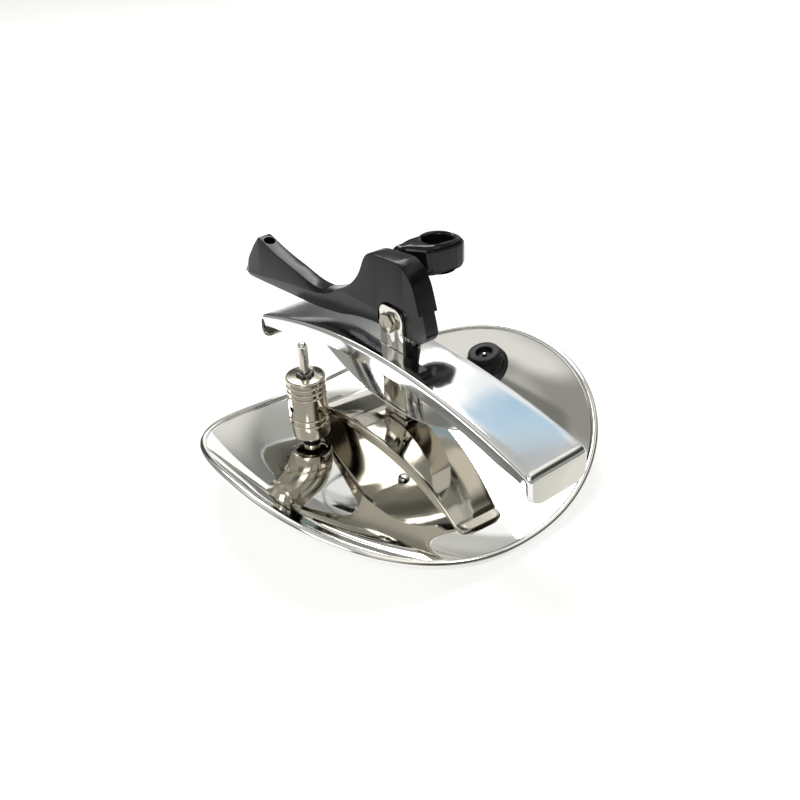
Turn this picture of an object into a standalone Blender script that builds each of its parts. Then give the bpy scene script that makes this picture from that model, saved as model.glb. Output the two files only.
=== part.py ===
"""Lid assembly of a lever-closed pressure canner: a curved oval lid with a bridge, a sprung pressure bar,
a cam lever with a ring loop, a regulator weight on its vent and a safety plug. Metres, +Z up."""
import math

import bmesh
import bpy
import numpy as np
from mathutils import Matrix, Vector

MM = 0.001

# Where the lid's datum point sits in the object's frame.
LID_X, LID_Y, LID_Z = 19.78 * MM, 0.0, -4.10 * MM

# Lid: an oval sheet bent into a shallow saddle, with a rolled rim. Heights are above the lid's datum.
LID_HALF_X = 110.8 * MM
LID_HALF_Y = 120.0 * MM
LID_OVAL = 2.25
LID_CROWN = 11.0 * MM
LID_DROP_X = 1.0
LID_RIM_X = 8.4 * MM
LID_RIM_Y = 41.5 * MM
LID_POWER = 4.5
LID_SHEET = 1.2 * MM
BEAD_R = 2.3 * MM
GAP = 0.3 * MM

# Pressure bar: an arched channel with bent-down ends.
BAR_Y = 3.0 * MM
BAR_TOP = 84.1 * MM
BAR_SAG = 1.19
BAR_HALF_W = 19.5 * MM
BAR_FLARE = 1.9 * MM
BAR_SHEET = 1.5 * MM
BAR_FLANGE = 9.5 * MM
BAR_BEND_X = 121.5 * MM
BAR_END_R = 6.3 * MM
BAR_END_Z = 48.0 * MM
BAR_END_CORNER = 7.0 * MM

# Bridge: the arch spot-welded to the lid under the bar.
BRIDGE_Y = -5.3 * MM
BRIDGE_YAW = math.radians(-3.1)
BRIDGE_HALF_W = 22.4 * MM
BRIDGE_FOOT_W = 14.7 * MM
BRIDGE_CROWN = 1.0 * MM
BRIDGE_SHEET = 1.5 * MM
BRIDGE_FLANGE = 5.5 * MM
BRIDGE_FOOT_X = 78.0 * MM
BRIDGE_TAB = 6.0 * MM
BRIDGE_EDGE = (
    (0.0, 38.0), (10.0, 37.6), (20.0, 36.4), (30.0, 34.4), (40.0, 31.5), (50.0, 27.6),
    (58.0, 23.5), (65.0, 19.2), (70.0, 15.6), (74.5, 11.9), (78.0, 9.2),
)

# Leaf spring between bridge and bar.
LEAF_HALF_W = 8.0 * MM
LEAF_SHEET = 0.9 * MM
LEAF_Z = 43.3 * MM
LEAF_HALF_L = 86.0 * MM
LEAF_CURVE = 3.4
LEAF_CURVE4 = 74.0

# Link: the U-shaped stirrup that carries the pivot.
LINK_IN = 4.75 * MM
LINK_SHEET = 1.8 * MM
LINK_HALF_X = 10.2 * MM
LINK_FOOT_Z = 39.4 * MM
PIVOT_Z = 101.4 * MM
PIVOT_R = 2.95 * MM

# Lever: cam block and grip in one moulding.
LEVER_HALF_W = 6.75 * MM
LEVER_CORE = 4.4 * MM
LEVER_TOP = (
    (-166.5, -18.5), (-160.0, -9.5), (-151.0, 2.0), (-144.0, 9.2), (-135.0, 6.9), (-125.6, 4.2),
    (-113.0, 1.5), (-101.0, -0.6), (-90.0, -2.9), (-79.0, -4.3), (-71.0, -3.9), (-63.7, -1.7),
    (-56.0, 1.2), (-48.4, 4.6), (-42.0, 8.2), (-37.0, 11.9), (-32.5, 16.2), (-28.5, 21.4),
    (-25.5, 27.0), (-22.8, 32.2), (-19.5, 35.4), (-15.0, 36.6), (-8.0, 37.4), (0.0, 38.1),
    (6.6, 38.4), (11.5, 37.2), (15.5, 34.5), (18.4, 31.3), (20.6, 27.8), (22.6, 22.5),
    (24.4, 16.5), (26.2, 10.2), (27.6, 5.0), (28.6, 1.2),
)
LEVER_BOTTOM = (
    (-166.5, -22.4), (-160.0, -23.2), (-146.0, -22.6), (-125.0, -21.2), (-106.3, -20.0), (-90.0, -19.0),
    (-76.0, -17.9), (-64.0, -16.2), (-52.3, -14.0), (-44.0, -11.7), (-36.4, -9.6), (-24.0, -7.3),
    (-13.6, -6.2), (0.0, -6.6), (12.0, -7.2), (20.0, -7.3), (24.5, -6.2), (27.2, -3.6), (28.6, -0.4),
)
LEVER_RIDGE = (
    (-166.5, -21.2), (-146.0, -18.4), (-125.0, -14.6), (-101.0, -11.0), (-79.5, -8.4), (-66.0, -5.4),
    (-57.0, -1.2), (-48.4, 3.4), (28.6, 0.6),
)
HANG_HOLE_X = -137.0 * MM
HANG_HOLE_R = 3.9 * MM

# Ring loop beside the lever's head.
RING_LOW, RING_HIGH = 121.0 * MM, 139.4 * MM
RING_HOLE = (-4.6, 36.6, 8.9)
RING_OUTLINE = (
    (-13.4, 10.05), (-8.4, 10.05), (-7.4, 13.0), (4.3, 22.4), (5.6, 24.6), (8.0, 43.5), (7.4, 46.6),
    (5.0, 49.2), (0.8, 51.0), (-4.0, 51.2), (-8.8, 49.6), (-12.6, 46.8), (-15.4, 43.0), (-16.6, 38.8),
    (-16.4, 21.8), (-15.2, 18.2), (-13.4, 13.2),
)

# Vent, regulator weight and safety plug.
VENT_X, VENT_Y = -48.8 * MM, -34.2 * MM
WEIGHT_R = 12.5 * MM
WEIGHT_LOW, WEIGHT_HIGH = 16.3 * MM, 57.6 * MM
PIN_R = 3.1 * MM
PIN_TOP = 80.0 * MM
PLUG_X, PLUG_Y = -23.5 * MM, 95.0 * MM
PLUG_LEAN = math.radians(12.0)


def lid_r(angle):
    """Distance from the lid's middle to its outer edge in this direction."""
    c = abs(math.cos(angle)) / LID_HALF_X
    s = abs(math.sin(angle)) / LID_HALF_Y
    return (c**LID_OVAL + s**LID_OVAL) ** (-1.0 / LID_OVAL)


def lid_z(x, y):
    """Height of the lid's upper face."""
    rho = ((abs(x) / LID_HALF_X) ** LID_OVAL + (abs(y) / LID_HALF_Y) ** LID_OVAL) ** (1.0 / LID_OVAL)
    far = x * x + y * y + 1e-12
    rise = (LID_RIM_X * x * x + LID_RIM_Y * y * y) / far
    return LID_CROWN - LID_DROP_X * x * x + rise * rho**LID_POWER


def bar_z(x):
    """Height of the bar's upper face along its middle."""
    return BAR_TOP - BAR_SAG * x * x


def table_value(table, x):
    xs = [p[0] for p in table]
    zs = [p[1] for p in table]
    return float(np.interp(x, xs, zs))


def material(name, colour, metallic, roughness):
    mat = bpy.data.materials.get(name) or bpy.data.materials.new(name)
    mat.use_nodes = True
    shader = mat.node_tree.nodes["Principled BSDF"]
    shader.inputs["Base Color"].default_value = (*colour, 1.0)
    shader.inputs["Metallic"].default_value = metallic
    shader.inputs["Roughness"].default_value = roughness
    mat.diffuse_color = (*colour, 1.0)
    return mat


def steel(name):
    return material(name, (0.70, 0.70, 0.68), 1.0, 0.12)


def black(name):
    return material(name, (0.02, 0.02, 0.022), 0.0, 0.35)


def body(name, verts, faces, mat, smooth=True):
    """A named object from points in lid coordinates, its normals made to face out."""
    mesh = bpy.data.meshes.new(name)
    mesh.from_pydata([Vector(v) for v in verts], [], faces)
    bm = bmesh.new()
    bm.from_mesh(mesh)
    bmesh.ops.recalc_face_normals(bm, faces=bm.faces)
    if bm.calc_volume(signed=True) < 0.0:
        bmesh.ops.reverse_faces(bm, faces=bm.faces)
    bm.to_mesh(mesh)
    bm.free()
    obj = bpy.data.objects.new(name, mesh)
    bpy.context.scene.collection.objects.link(obj)
    obj.location = (LID_X, LID_Y, LID_Z)
    if mat:
        mesh.materials.append(mat)
    for face in mesh.polygons:
        face.use_smooth = smooth
    return obj


def loft(name, rings, mat, closed=False, smooth=True):
    """Rings of the same number of points joined by quads. An open loft is capped at both ends."""
    count = len(rings[0])
    verts = [p for ring in rings for p in ring]
    faces = []
    spans = len(rings) if closed else len(rings) - 1
    for i in range(spans):
        a = i * count
        b = ((i + 1) % len(rings)) * count
        for j in range(count):
            k = (j + 1) % count
            faces.append((a + j, a + k, b + k, b + j))
    if not closed:
        faces.append(tuple(range(count)))
        faces.append(tuple((len(rings) - 1) * count + j for j in range(count)))
    return body(name, verts, faces, mat, smooth)


def lathe(name, profile, mat, at, steps=32, hexagon=()):
    """A closed profile of (radius, height) turned about a vertical axis at (x, y). Radius 0 is a pole.
    Profile points numbered in hexagon are given a six-sided outline."""
    x0, y0 = at
    rings = []
    for i in range(steps):
        a = 2.0 * math.pi * i / steps
        ring = []
        for n, (r, z) in enumerate(profile):
            if n in hexagon:
                sixth = math.pi / 3.0
                b = (a + sixth / 2.0) % sixth - sixth / 2.0
                r = r / math.cos(b)
            ring.append((x0 + r * math.cos(a), y0 + r * math.sin(a), z))
        rings.append(ring)
    return loft(name, rings, mat, closed=True)


def turned(name, profile, mat, at, steps=32, hexagon=()):
    """A solid turned body: the profile runs from the axis at the bottom to the axis at the top."""
    x0, y0 = at
    verts = [(x0, y0, profile[0][1])]
    inner = profile[1:-1]
    for i in range(steps):
        a = 2.0 * math.pi * i / steps
        for n, (r, z) in enumerate(inner):
            if n + 1 in hexagon:
                sixth = math.pi / 3.0
                b = (a + sixth / 2.0) % sixth - sixth / 2.0
                r = r / math.cos(b)
            verts.append((x0 + r * math.cos(a), y0 + r * math.sin(a), z))
    verts.append((x0, y0, profile[-1][1]))
    top = len(verts) - 1
    count = len(inner)
    faces = []
    for i in range(steps):
        a = 1 + i * count
        b = 1 + ((i + 1) % steps) * count
        faces.append((0, b, a))
        faces.append((top, a + count - 1, b + count - 1))
        for j in range(count - 1):
            faces.append((a + j, b + j, b + j + 1, a + j + 1))
    return body(name, verts, faces, mat)


def prism(name, outline, low, high, mat, axis="Y", chamfer=0.0):
    """A flat outline pushed along Y or Z from low to high, with its end edges chamfered."""
    cx = sum(p[0] for p in outline) / len(outline)
    cy = sum(p[1] for p in outline) / len(outline)
    rings = []
    for depth, inset in ((low, chamfer), (low + chamfer, 0.0), (high - chamfer, 0.0), (high, chamfer)):
        if chamfer == 0.0 and rings and abs(depth - low) < 1e-9:
            continue
        if chamfer == 0.0 and len(rings) == 2:
            break
        ring = []
        for u, v in outline:
            d = math.hypot(u - cx, v - cy)
            k = (d - inset) / d if d > 0 else 1.0
            pu, pv = cx + (u - cx) * k, cy + (v - cy) * k
            ring.append((pu, depth, pv) if axis == "Y" else (pu, pv, depth))
        rings.append(ring)
    return loft(name, rings, mat, smooth=False)


def cylinder(name, r, low, high, at, axis="Z", steps=28):
    """A hidden helper cylinder used to cut a hole."""
    rings = []
    for depth in (low, high):
        ring = []
        for i in range(steps):
            a = 2.0 * math.pi * i / steps
            u, v = r * math.cos(a), r * math.sin(a)
            if axis == "Z":
                ring.append((at[0] + u, at[1] + v, depth))
            else:
                ring.append((at[0] + u, depth, at[1] + v))
        rings.append(ring)
    return loft(name, rings, None)


def box(name, low, high):
    """A hidden helper box used to cut a slot."""
    rings = []
    for x in (low[0], high[0]):
        rings.append([(x, low[1], low[2]), (x, high[1], low[2]), (x, high[1], high[2]), (x, low[1], high[2])])
    return loft(name, rings, None, smooth=False)


def cut(obj, cutter):
    cutter.hide_render = True
    cutter.display_type = "WIRE"
    mod = obj.modifiers.new("cut_" + cutter.name, "BOOLEAN")
    mod.operation = "DIFFERENCE"
    mod.solver = "EXACT"
    mod.object = cutter


def join(obj, other):
    other.hide_render = True
    other.display_type = "WIRE"
    mod = obj.modifiers.new("join_" + other.name, "BOOLEAN")
    mod.operation = "UNION"
    mod.solver = "EXACT"
    mod.object = other


def leaned(x, y, z, lean):
    """A plug point, given in its own upright axes at the plug's seat, turned to the lid's slope."""
    seat = lid_z(PLUG_X, PLUG_Y)
    c, s = math.cos(lean), math.sin(lean)
    return (PLUG_X + x, PLUG_Y + y * c - z * s, seat + y * s + z * c)


def make_lid_shell():
    """The oval sheet with its rolled rim: upper face, bead, lower face."""
    steps = 96
    shares = (0.10, 0.22, 0.35, 0.48, 0.60, 0.71, 0.81, 0.89, 0.95)
    bead = []
    for i in range(9):
        a = math.radians(160.0 - 37.5 * i)
        bead.append((BEAD_R + BEAD_R * math.cos(a), BEAD_R * math.sin(a)))
    verts = [(0.0, 0.0, lid_z(0.0, 0.0))]
    count = 0
    for i in range(steps):
        a = 2.0 * math.pi * i / steps
        edge = lid_r(a)
        ring = []
        reach = edge - 2.0 * BEAD_R
        for share in shares:
            x, y = reach * share * math.cos(a), reach * share * math.sin(a)
            ring.append((x, y, lid_z(x, y)))
        ex, ey = edge * math.cos(a), edge * math.sin(a)
        base = lid_z(ex * reach / edge, ey * reach / edge)
        for step, lift in bead:
            r = reach + step
            ring.append((r * math.cos(a), r * math.sin(a), base + 0.3 * MM + lift))
        for share in reversed(shares):
            x, y = reach * share * math.cos(a), reach * share * math.sin(a)
            ring.append((x, y, lid_z(x, y) - LID_SHEET))
        verts.extend(ring)
        count = len(ring)
    verts.append((0.0, 0.0, lid_z(0.0, 0.0) - LID_SHEET))
    faces = []
    last = len(verts) - 1
    for i in range(steps):
        a = 1 + i * count
        b = 1 + ((i + 1) % steps) * count
        faces.append((0, a, b))
        faces.append((last, b + count - 1, a + count - 1))
        for j in range(count - 1):
            faces.append((a + j, b + j, b + j + 1, a + j + 1))
    obj = body("lid_shell", verts, faces, steel("lid_steel"))
    cut(obj, cylinder("cut_vent", 4.6 * MM, -20 * MM, 30 * MM, (VENT_X, VENT_Y)))
    hole = cylinder("cut_plug", 7.3 * MM, 0, 1, (0, 0))
    for vert in hole.data.vertices:
        x, y, z = vert.co
        vert.co = leaned(x, y, -15 * MM if z < 0.5 else 15 * MM, PLUG_LEAN)
    cut(obj, hole)
    return obj


def bridge_xy(along, across):
    """The lid's x and y of a point given along and across the bridge, which is turned a little."""
    c = math.cos(BRIDGE_YAW)
    s = math.sin(BRIDGE_YAW)
    return c * along - s * across, BRIDGE_Y + s * along + c * across


def make_lid_bridge():
    """The arch on the lid: a crowned channel whose ends turn out into flat feet that follow the lid."""
    xs = [p[0] * MM for p in BRIDGE_EDGE]
    stations = sorted({-x for x in xs} | set(xs))
    foot = BRIDGE_FOOT_X
    stations = [-foot - BRIDGE_TAB, -foot - 1.6 * MM] + stations + [foot + 1.6 * MM, foot + BRIDGE_TAB]
    acrosses = (-1.0, -0.94, -0.6, -0.2, 0.2, 0.6, 0.94, 1.0)
    rings = []
    for x in stations:
        far = abs(x)
        u = min(far / foot, 1.0)
        half = BRIDGE_HALF_W - (BRIDGE_HALF_W - BRIDGE_FOOT_W) * u**1.2
        crown = BRIDGE_CROWN * max(0.0, 1.0 - (far / (0.8 * foot)) ** 2)
        on_foot = far > foot
        turned_down = min(1.0, max(0.0, (foot - 2.0 * MM - far) / (14.0 * MM)))
        upper = []
        lower = []
        for v in acrosses:
            y = half * v
            low = lid_z(*bridge_xy(x, y)) + 2.0 * GAP + BRIDGE_SHEET
            if on_foot:
                z = low
            else:
                z = max(table_value(BRIDGE_EDGE, far / MM) * MM + crown * (1.0 - v * v), low)
                if abs(v) == 1.0:
                    z -= 1.0 * MM * turned_down
            upper.append((x, y, z))
        drop = BRIDGE_FLANGE * turned_down
        for n, v in enumerate(reversed(acrosses)):
            x1, y1, z1 = upper[len(acrosses) - 1 - n]
            if abs(v) == 1.0:
                inner = (half - BRIDGE_SHEET) * v
                z_low = z1 - max(drop, BRIDGE_SHEET * 0.9)
                if on_foot:
                    z_low = z1 - BRIDGE_SHEET
                sheet = [(x, y1, z_low), (x, inner, z_low)]
                lower.extend(sheet if v > 0 else reversed(sheet))
            elif abs(v) == 0.94:
                side = 1.0 if v > 0 else -1.0
                y2 = (half - BRIDGE_SHEET) * side
                lower.append((x, y2 - 0.2 * MM * side, z1 - BRIDGE_SHEET - (0.4 * MM if not on_foot else 0.0)))
            else:
                lower.append((x, y1, z1 - BRIDGE_SHEET))
        rings.append([(*bridge_xy(x, y), z) for x, y, z in upper + lower])
    obj = loft("lid_bridge", rings, steel("bridge_steel"))
    cut(obj, cylinder("cut_bridge_rivet", 2.7 * MM, 30 * MM, 60 * MM, (0.0, BAR_Y)))
    return obj


def make_leaf_spring():
    """The thin leaf that holds the bar up off the bridge: low in the middle, high at both ends."""
    rings = []
    steps = 24
    for i in range(steps + 1):
        x = LEAF_HALF_L * (2.0 * i / steps - 1.0)
        z = LEAF_Z + LEAF_CURVE * x**2 + LEAF_CURVE4 * x**4
        half = LEAF_HALF_W
        low, high = BAR_Y - half, BAR_Y + half
        rings.append([(x, low, z), (x, high, z), (x, high, z + LEAF_SHEET), (x, low, z + LEAF_SHEET)])
    obj = loft("leaf_spring", rings, steel("spring_steel"))
    for n, side in enumerate((-1.0, 1.0)):
        ys = sorted((BAR_Y + side * (LINK_IN - 0.4 * MM), BAR_Y + side * (LINK_IN + LINK_SHEET + 0.4 * MM)))
        low = (-LINK_HALF_X - 0.6 * MM, ys[0], 30 * MM)
        high = (LINK_HALF_X + 0.6 * MM, ys[1], 60 * MM)
        cut(obj, box("cut_leaf_slot_%d" % n, low, high))
    return obj


def make_pressure_bar():
    """The arched channel: top plate, rounded edges, side flanges, and both ends bent down square."""
    path = []
    steps = 16
    for i in range(steps + 1):
        x = BAR_BEND_X * i / steps
        path.append((x, bar_z(x), math.atan(-2.0 * BAR_SAG * x)))
    x, z, slope = path[-1]
    end_slope = math.radians(-86.0)
    turns = 5
    cx = x + BAR_END_R * math.sin(slope)
    cz = z - BAR_END_R * math.cos(slope)
    for i in range(1, turns + 1):
        a = slope + (end_slope - slope) * i / turns
        path.append((cx - BAR_END_R * math.sin(a), cz + BAR_END_R * math.cos(a), a))
    x, z, a = path[-1]
    length = (z - BAR_END_Z) / math.sin(-a)
    for back in (BAR_END_CORNER, 0.62 * BAR_END_CORNER, 0.30 * BAR_END_CORNER, 0.08 * BAR_END_CORNER, 0.0):
        d = length - back
        path.append((x + d * math.cos(a), z + d * math.sin(a), a))
    total = len(path)
    half_path = []
    for n, (x, z, a) in enumerate(path):
        bent = n - steps
        flange = BAR_FLANGE
        if x > BAR_BEND_X - 6.0 * MM:
            flange = BAR_FLANGE * 0.82
        if bent >= 0:
            flange = 2.5 * MM
        half = BAR_HALF_W + BAR_FLARE * min(x / BAR_BEND_X, 1.0) ** 2
        left = total - 1 - n
        if left < 4:
            back = (0.0, 0.08, 0.30, 0.62)[left]
            half -= BAR_END_CORNER * (1.0 - math.sqrt(1.0 - (1.0 - back) ** 2))
        half_path.append((x, z, a, flange, half))
    stations = []
    for x, z, a, flange, half in reversed(half_path[1:]):
        stations.append((-x, z, -a, flange, half))
    stations.extend(half_path)
    bend = half_path[steps]
    just_before = (bend[0] - 0.8 * MM, bar_z(bend[0] - 0.8 * MM), bend[2], BAR_FLANGE * 0.82, bend[4])
    index = stations.index(bend)
    stations.insert(index, just_before)
    mirror = (-just_before[0], just_before[1], -just_before[2], just_before[3], just_before[4])
    stations.insert(len(half_path) - steps - 1 + 0, mirror)
    stations.sort(key=lambda s: (s[0], -s[1] if s[0] > 0 else s[1]))
    rings = []
    t = BAR_SHEET
    r = 2.3 * MM
    for x, z, a, flange, half in stations:
        section = []
        for side in (-1.0, 1.0):
            corner = [(half, flange), (half, r), (half - 0.3 * r, 0.3 * r), (half - r, 0.0)]
            corner = [(v * side, w) for v, w in corner]
            section.extend(corner if side < 0 else reversed(corner))
        for side in (1.0, -1.0):
            corner = [(half - t, flange), (half - t, r), (half - t - 0.2 * r, t + 0.1 * r), (half - r - 0.2 * t, t)]
            corner = [(v * side, w) for v, w in corner]
            section.extend(corner if side > 0 else reversed(corner))
        nx, nz = math.sin(a), -math.cos(a)
        rings.append([(x + nx * w, BAR_Y + v, z + nz * w) for v, w in section])
    obj = loft("pressure_bar", rings, steel("bar_steel"))
    for n, side in enumerate((-1.0, 1.0)):
        ys = sorted((BAR_Y + side * (LINK_IN - 0.6 * MM), BAR_Y + side * (LINK_IN + LINK_SHEET + 0.6 * MM)))
        low = (-LINK_HALF_X - 0.7 * MM, ys[0], 70 * MM)
        high = (LINK_HALF_X + 0.7 * MM, ys[1], 95 * MM)
        cut(obj, box("cut_slot_%d" % n, low, high))
    return obj


def make_link_stirrup():
    """The U of strip: a web on the leaf, and two ears up through the bar to the pivot."""
    outline = []
    outer, inner = LINK_IN + LINK_SHEET, LINK_IN
    z0 = LINK_FOOT_Z
    half = LINK_HALF_X
    ear = (
        (-10.2, 0.0), (-10.2, 64.3), (-9.3, 66.9), (-7.4, 69.3), (-4.8, 70.6), (3.6, 70.6), (6.6, 69.4),
        (9.0, 66.7), (9.9, 62.8), (10.2, 52.0), (10.2, 0.0),
    )
    shape = [(x * MM, z0 + z * MM) for x, z in ear]
    mat = steel("link_steel")
    obj = prism("link_stirrup", shape, BAR_Y - outer, BAR_Y - inner, mat)
    other = prism("join_far_ear", shape, BAR_Y + inner, BAR_Y + outer, None)
    web = box(
        "join_web",
        (-half + 0.05 * MM, BAR_Y - outer + 0.4 * MM, z0 + 0.02 * MM),
        (half - 0.05 * MM, BAR_Y + outer - 0.4 * MM, z0 + LINK_SHEET),
    )
    join(obj, other)
    join(obj, web)
    pin = cylinder("cut_pivot", PIVOT_R + 0.25 * MM, -30 * MM, 40 * MM, (0.0, PIVOT_Z), axis="Y")
    cut(obj, pin)
    cut(obj, cylinder("cut_web_rivet", 2.7 * MM, 30 * MM, 60 * MM, (0.0, BAR_Y)))
    return obj


def make_link_rivet():
    """Holds the stirrup to the bridge: a flat head on the web and a closed head under the bridge."""
    low = table_value(BRIDGE_EDGE, 0.0) * MM + BRIDGE_CROWN - BRIDGE_SHEET - 0.9 * MM
    top = LINK_FOOT_Z + LINK_SHEET + GAP
    profile = [
        (0.0, low - 2.0 * MM), (3.4 * MM, low - 1.8 * MM), (4.0 * MM, low - 1.0 * MM), (4.0 * MM, low),
        (2.4 * MM, low), (2.4 * MM, top), (3.9 * MM, top), (3.9 * MM, top + 0.4 * MM),
        (3.2 * MM, top + 0.8 * MM), (0.0, top + 1.0 * MM),
    ]
    return turned("link_rivet", profile, steel("rivet_steel"), (0.0, BAR_Y), steps=20)


def make_lever_handle():
    """Cam block and grip. Below the top edge the grip's sides swell to a ridge, then draw in again."""
    xs = sorted({p[0] for p in LEVER_TOP} | {p[0] for p in LEVER_BOTTOM})
    rings = []
    for x in xs:
        top = table_value(LEVER_TOP, x) * MM
        bottom = table_value(LEVER_BOTTOM, x) * MM
        ridge = min(max(table_value(LEVER_RIDGE, x) * MM, bottom + 0.8 * MM), top - 0.8 * MM)
        grip = min(1.0, max(0.0, (-46.0 - x) / 14.0))
        half = LEVER_HALF_W
        upper = half - 1.5 * MM * grip
        lower = half - 0.9 * MM * grip
        c = min(0.9 * MM, 0.18 * (top - bottom))
        if x < -160.0:
            half -= (-160.0 - x) * 0.28 * MM
            upper -= (-160.0 - x) * 0.28 * MM
            lower -= (-160.0 - x) * 0.28 * MM
        side = [
            (lower - c, bottom), (lower, bottom + c), (half, ridge),
            (upper, max(top - c, ridge + 0.2 * MM)), (upper - c, top),
        ]
        ring = [(x * MM, BAR_Y + v, PIVOT_Z + w) for v, w in side]
        ring += [(x * MM, BAR_Y - v, PIVOT_Z + w) for v, w in reversed(side)]
        rings.append(ring)
    obj = loft("lever_handle", rings, black("lever_black"), smooth=False)
    # Pockets that the stirrup's ears lie in, open below and ahead so that the lever can turn past them.
    reach = 11.7 * MM
    for n, side in enumerate((-1.0, 1.0)):
        outline = [(-reach, -12 * MM), (-reach, 0.0)]
        for i in range(1, 8):
            a = math.pi - math.pi / 2.0 * i / 8.0
            outline.append((reach * math.cos(a), reach * math.sin(a)))
        outline += [(0.0, reach), (34 * MM, reach), (34 * MM, -12 * MM)]
        outline = [(u, PIVOT_Z + v) for u, v in outline]
        ys = sorted((BAR_Y + side * LEVER_CORE, BAR_Y + side * (LEVER_HALF_W + 3 * MM)))
        cut(obj, prism("cut_pocket_%d" % n, outline, ys[0], ys[1], None))
    bore = cylinder("cut_bore", PIVOT_R + 0.3 * MM, -30 * MM, 40 * MM, (0.0, PIVOT_Z), axis="Y")
    cut(obj, bore)
    hang = cylinder("cut_hang", HANG_HOLE_R, 60 * MM, 130 * MM, (HANG_HOLE_X, BAR_Y))
    cut(obj, hang)
    return set_origin(obj, (0.0, BAR_Y, PIVOT_Z))


def set_origin(obj, point):
    """Moves the object's origin to this lid point without moving its shape."""
    shift = Vector(point)
    obj.data.transform(Matrix.Translation(-shift))
    obj.location = Vector((LID_X, LID_Y, LID_Z)) + shift
    return obj


def make_ring_loop():
    """The loop beside the lever's head, with an upright hole and a neck to the lever."""
    outline = [(x * MM, y * MM) for x, y in RING_OUTLINE]
    obj = prism("ring_loop", outline, RING_LOW, RING_HIGH, black("ring_black"), axis="Z", chamfer=1.6 * MM)
    x, y, r = RING_HOLE
    cut(obj, cylinder("cut_ring", r * MM, 110 * MM, 150 * MM, (x * MM, y * MM), steps=40))
    neck_low = box("cut_neck", (-20 * MM, 5 * MM, 115 * MM), (12 * MM, 16.5 * MM, 127.5 * MM))
    cut(obj, neck_low)
    return set_origin(obj, (0.0, BAR_Y, PIVOT_Z))


def hexagon_prism(name, across, low, high, mat):
    """A six-sided head or nut on the pivot axis, its outer corners eased."""
    r = across / 2.0 / math.cos(math.pi / 6.0)
    turns = [math.radians(60 * i + 12) for i in range(6)]
    outline = [(r * math.cos(a), PIVOT_Z + r * math.sin(a)) for a in turns]
    return prism(name, outline, low, high, mat, chamfer=0.5 * MM)


def make_pivot_bolt():
    """Hex head on the near ear and a plain shank through both ears."""
    outer = LINK_IN + LINK_SHEET
    near = BAR_Y - outer - 0.2 * MM
    obj = hexagon_prism("pivot_bolt", 11.4 * MM, near - 4.0 * MM, near, steel("bolt_steel"))
    shank = cylinder("join_shank", PIVOT_R, near - 1.0 * MM, BAR_Y + outer + 5.6 * MM, (0.0, PIVOT_Z), axis="Y")
    join(obj, shank)
    return set_origin(obj, (0.0, BAR_Y, PIVOT_Z))


def make_pivot_nut():
    """Hex nut on the far end of the bolt."""
    outer = LINK_IN + LINK_SHEET
    near = BAR_Y + outer + 0.2 * MM
    obj = hexagon_prism("pivot_nut", 10.4 * MM, near, near + 4.0 * MM, steel("nut_steel"))
    cut(obj, cylinder("cut_nut", PIVOT_R + 0.1 * MM, 0, 40 * MM, (0.0, PIVOT_Z), axis="Y"))
    return set_origin(obj, (0.0, BAR_Y, PIVOT_Z))


def ring_on_lid(name, inner, outer, thick, gap, mat, under=False):
    """A washer that follows the lid's face round the vent."""
    rings = []
    for i in range(32):
        a = 2.0 * math.pi * i / 32
        ring = []
        for r, up in ((inner, 0), (outer, 0), (outer, 1), (inner, 1)):
            x, y = VENT_X + r * math.cos(a), VENT_Y + r * math.sin(a)
            z = lid_z(x, y) + gap
            if under:
                z = lid_z(x, y) - LID_SHEET - gap
            if up:
                z = thick
            ring.append((x, y, z))
        rings.append(ring)
    return loft(name, rings, mat, closed=True)


def make_vent_gasket():
    """Soft washer between the vent's shoulder and the lid's slope."""
    return ring_on_lid("vent_gasket", 4.5 * MM, 5.6 * MM, 11.1 * MM, GAP, black("gasket_rubber"))


def make_vent_pipe():
    """The steam pipe: thread through the lid, round shoulder on its washer, nozzle up inside the weight."""
    profile = [
        (1.5 * MM, 4.1 * MM), (4.0 * MM, 4.1 * MM), (4.2 * MM, 4.5 * MM), (4.2 * MM, 11.4 * MM),
        (5.1 * MM, 11.4 * MM), (5.35 * MM, 11.7 * MM), (5.35 * MM, 21.4 * MM), (4.9 * MM, 22.0 * MM),
        (4.2 * MM, 22.3 * MM), (4.2 * MM, 36.0 * MM), (3.2 * MM, 40.0 * MM), (1.5 * MM, 40.0 * MM),
    ]
    return lathe("vent_pipe", profile, steel("vent_pipe_steel"), (VENT_X, VENT_Y), 32)


def make_vent_locknut():
    """Hex nut that draws the vent tight from under the lid."""
    profile = [(4.5 * MM, 4.2 * MM), (8.0 * MM, 4.2 * MM), (8.0 * MM, 6.6 * MM), (4.5 * MM, 6.6 * MM)]
    return lathe("vent_locknut", profile, steel("locknut_steel"), (VENT_X, VENT_Y), 24, hexagon=(1, 2))


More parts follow.
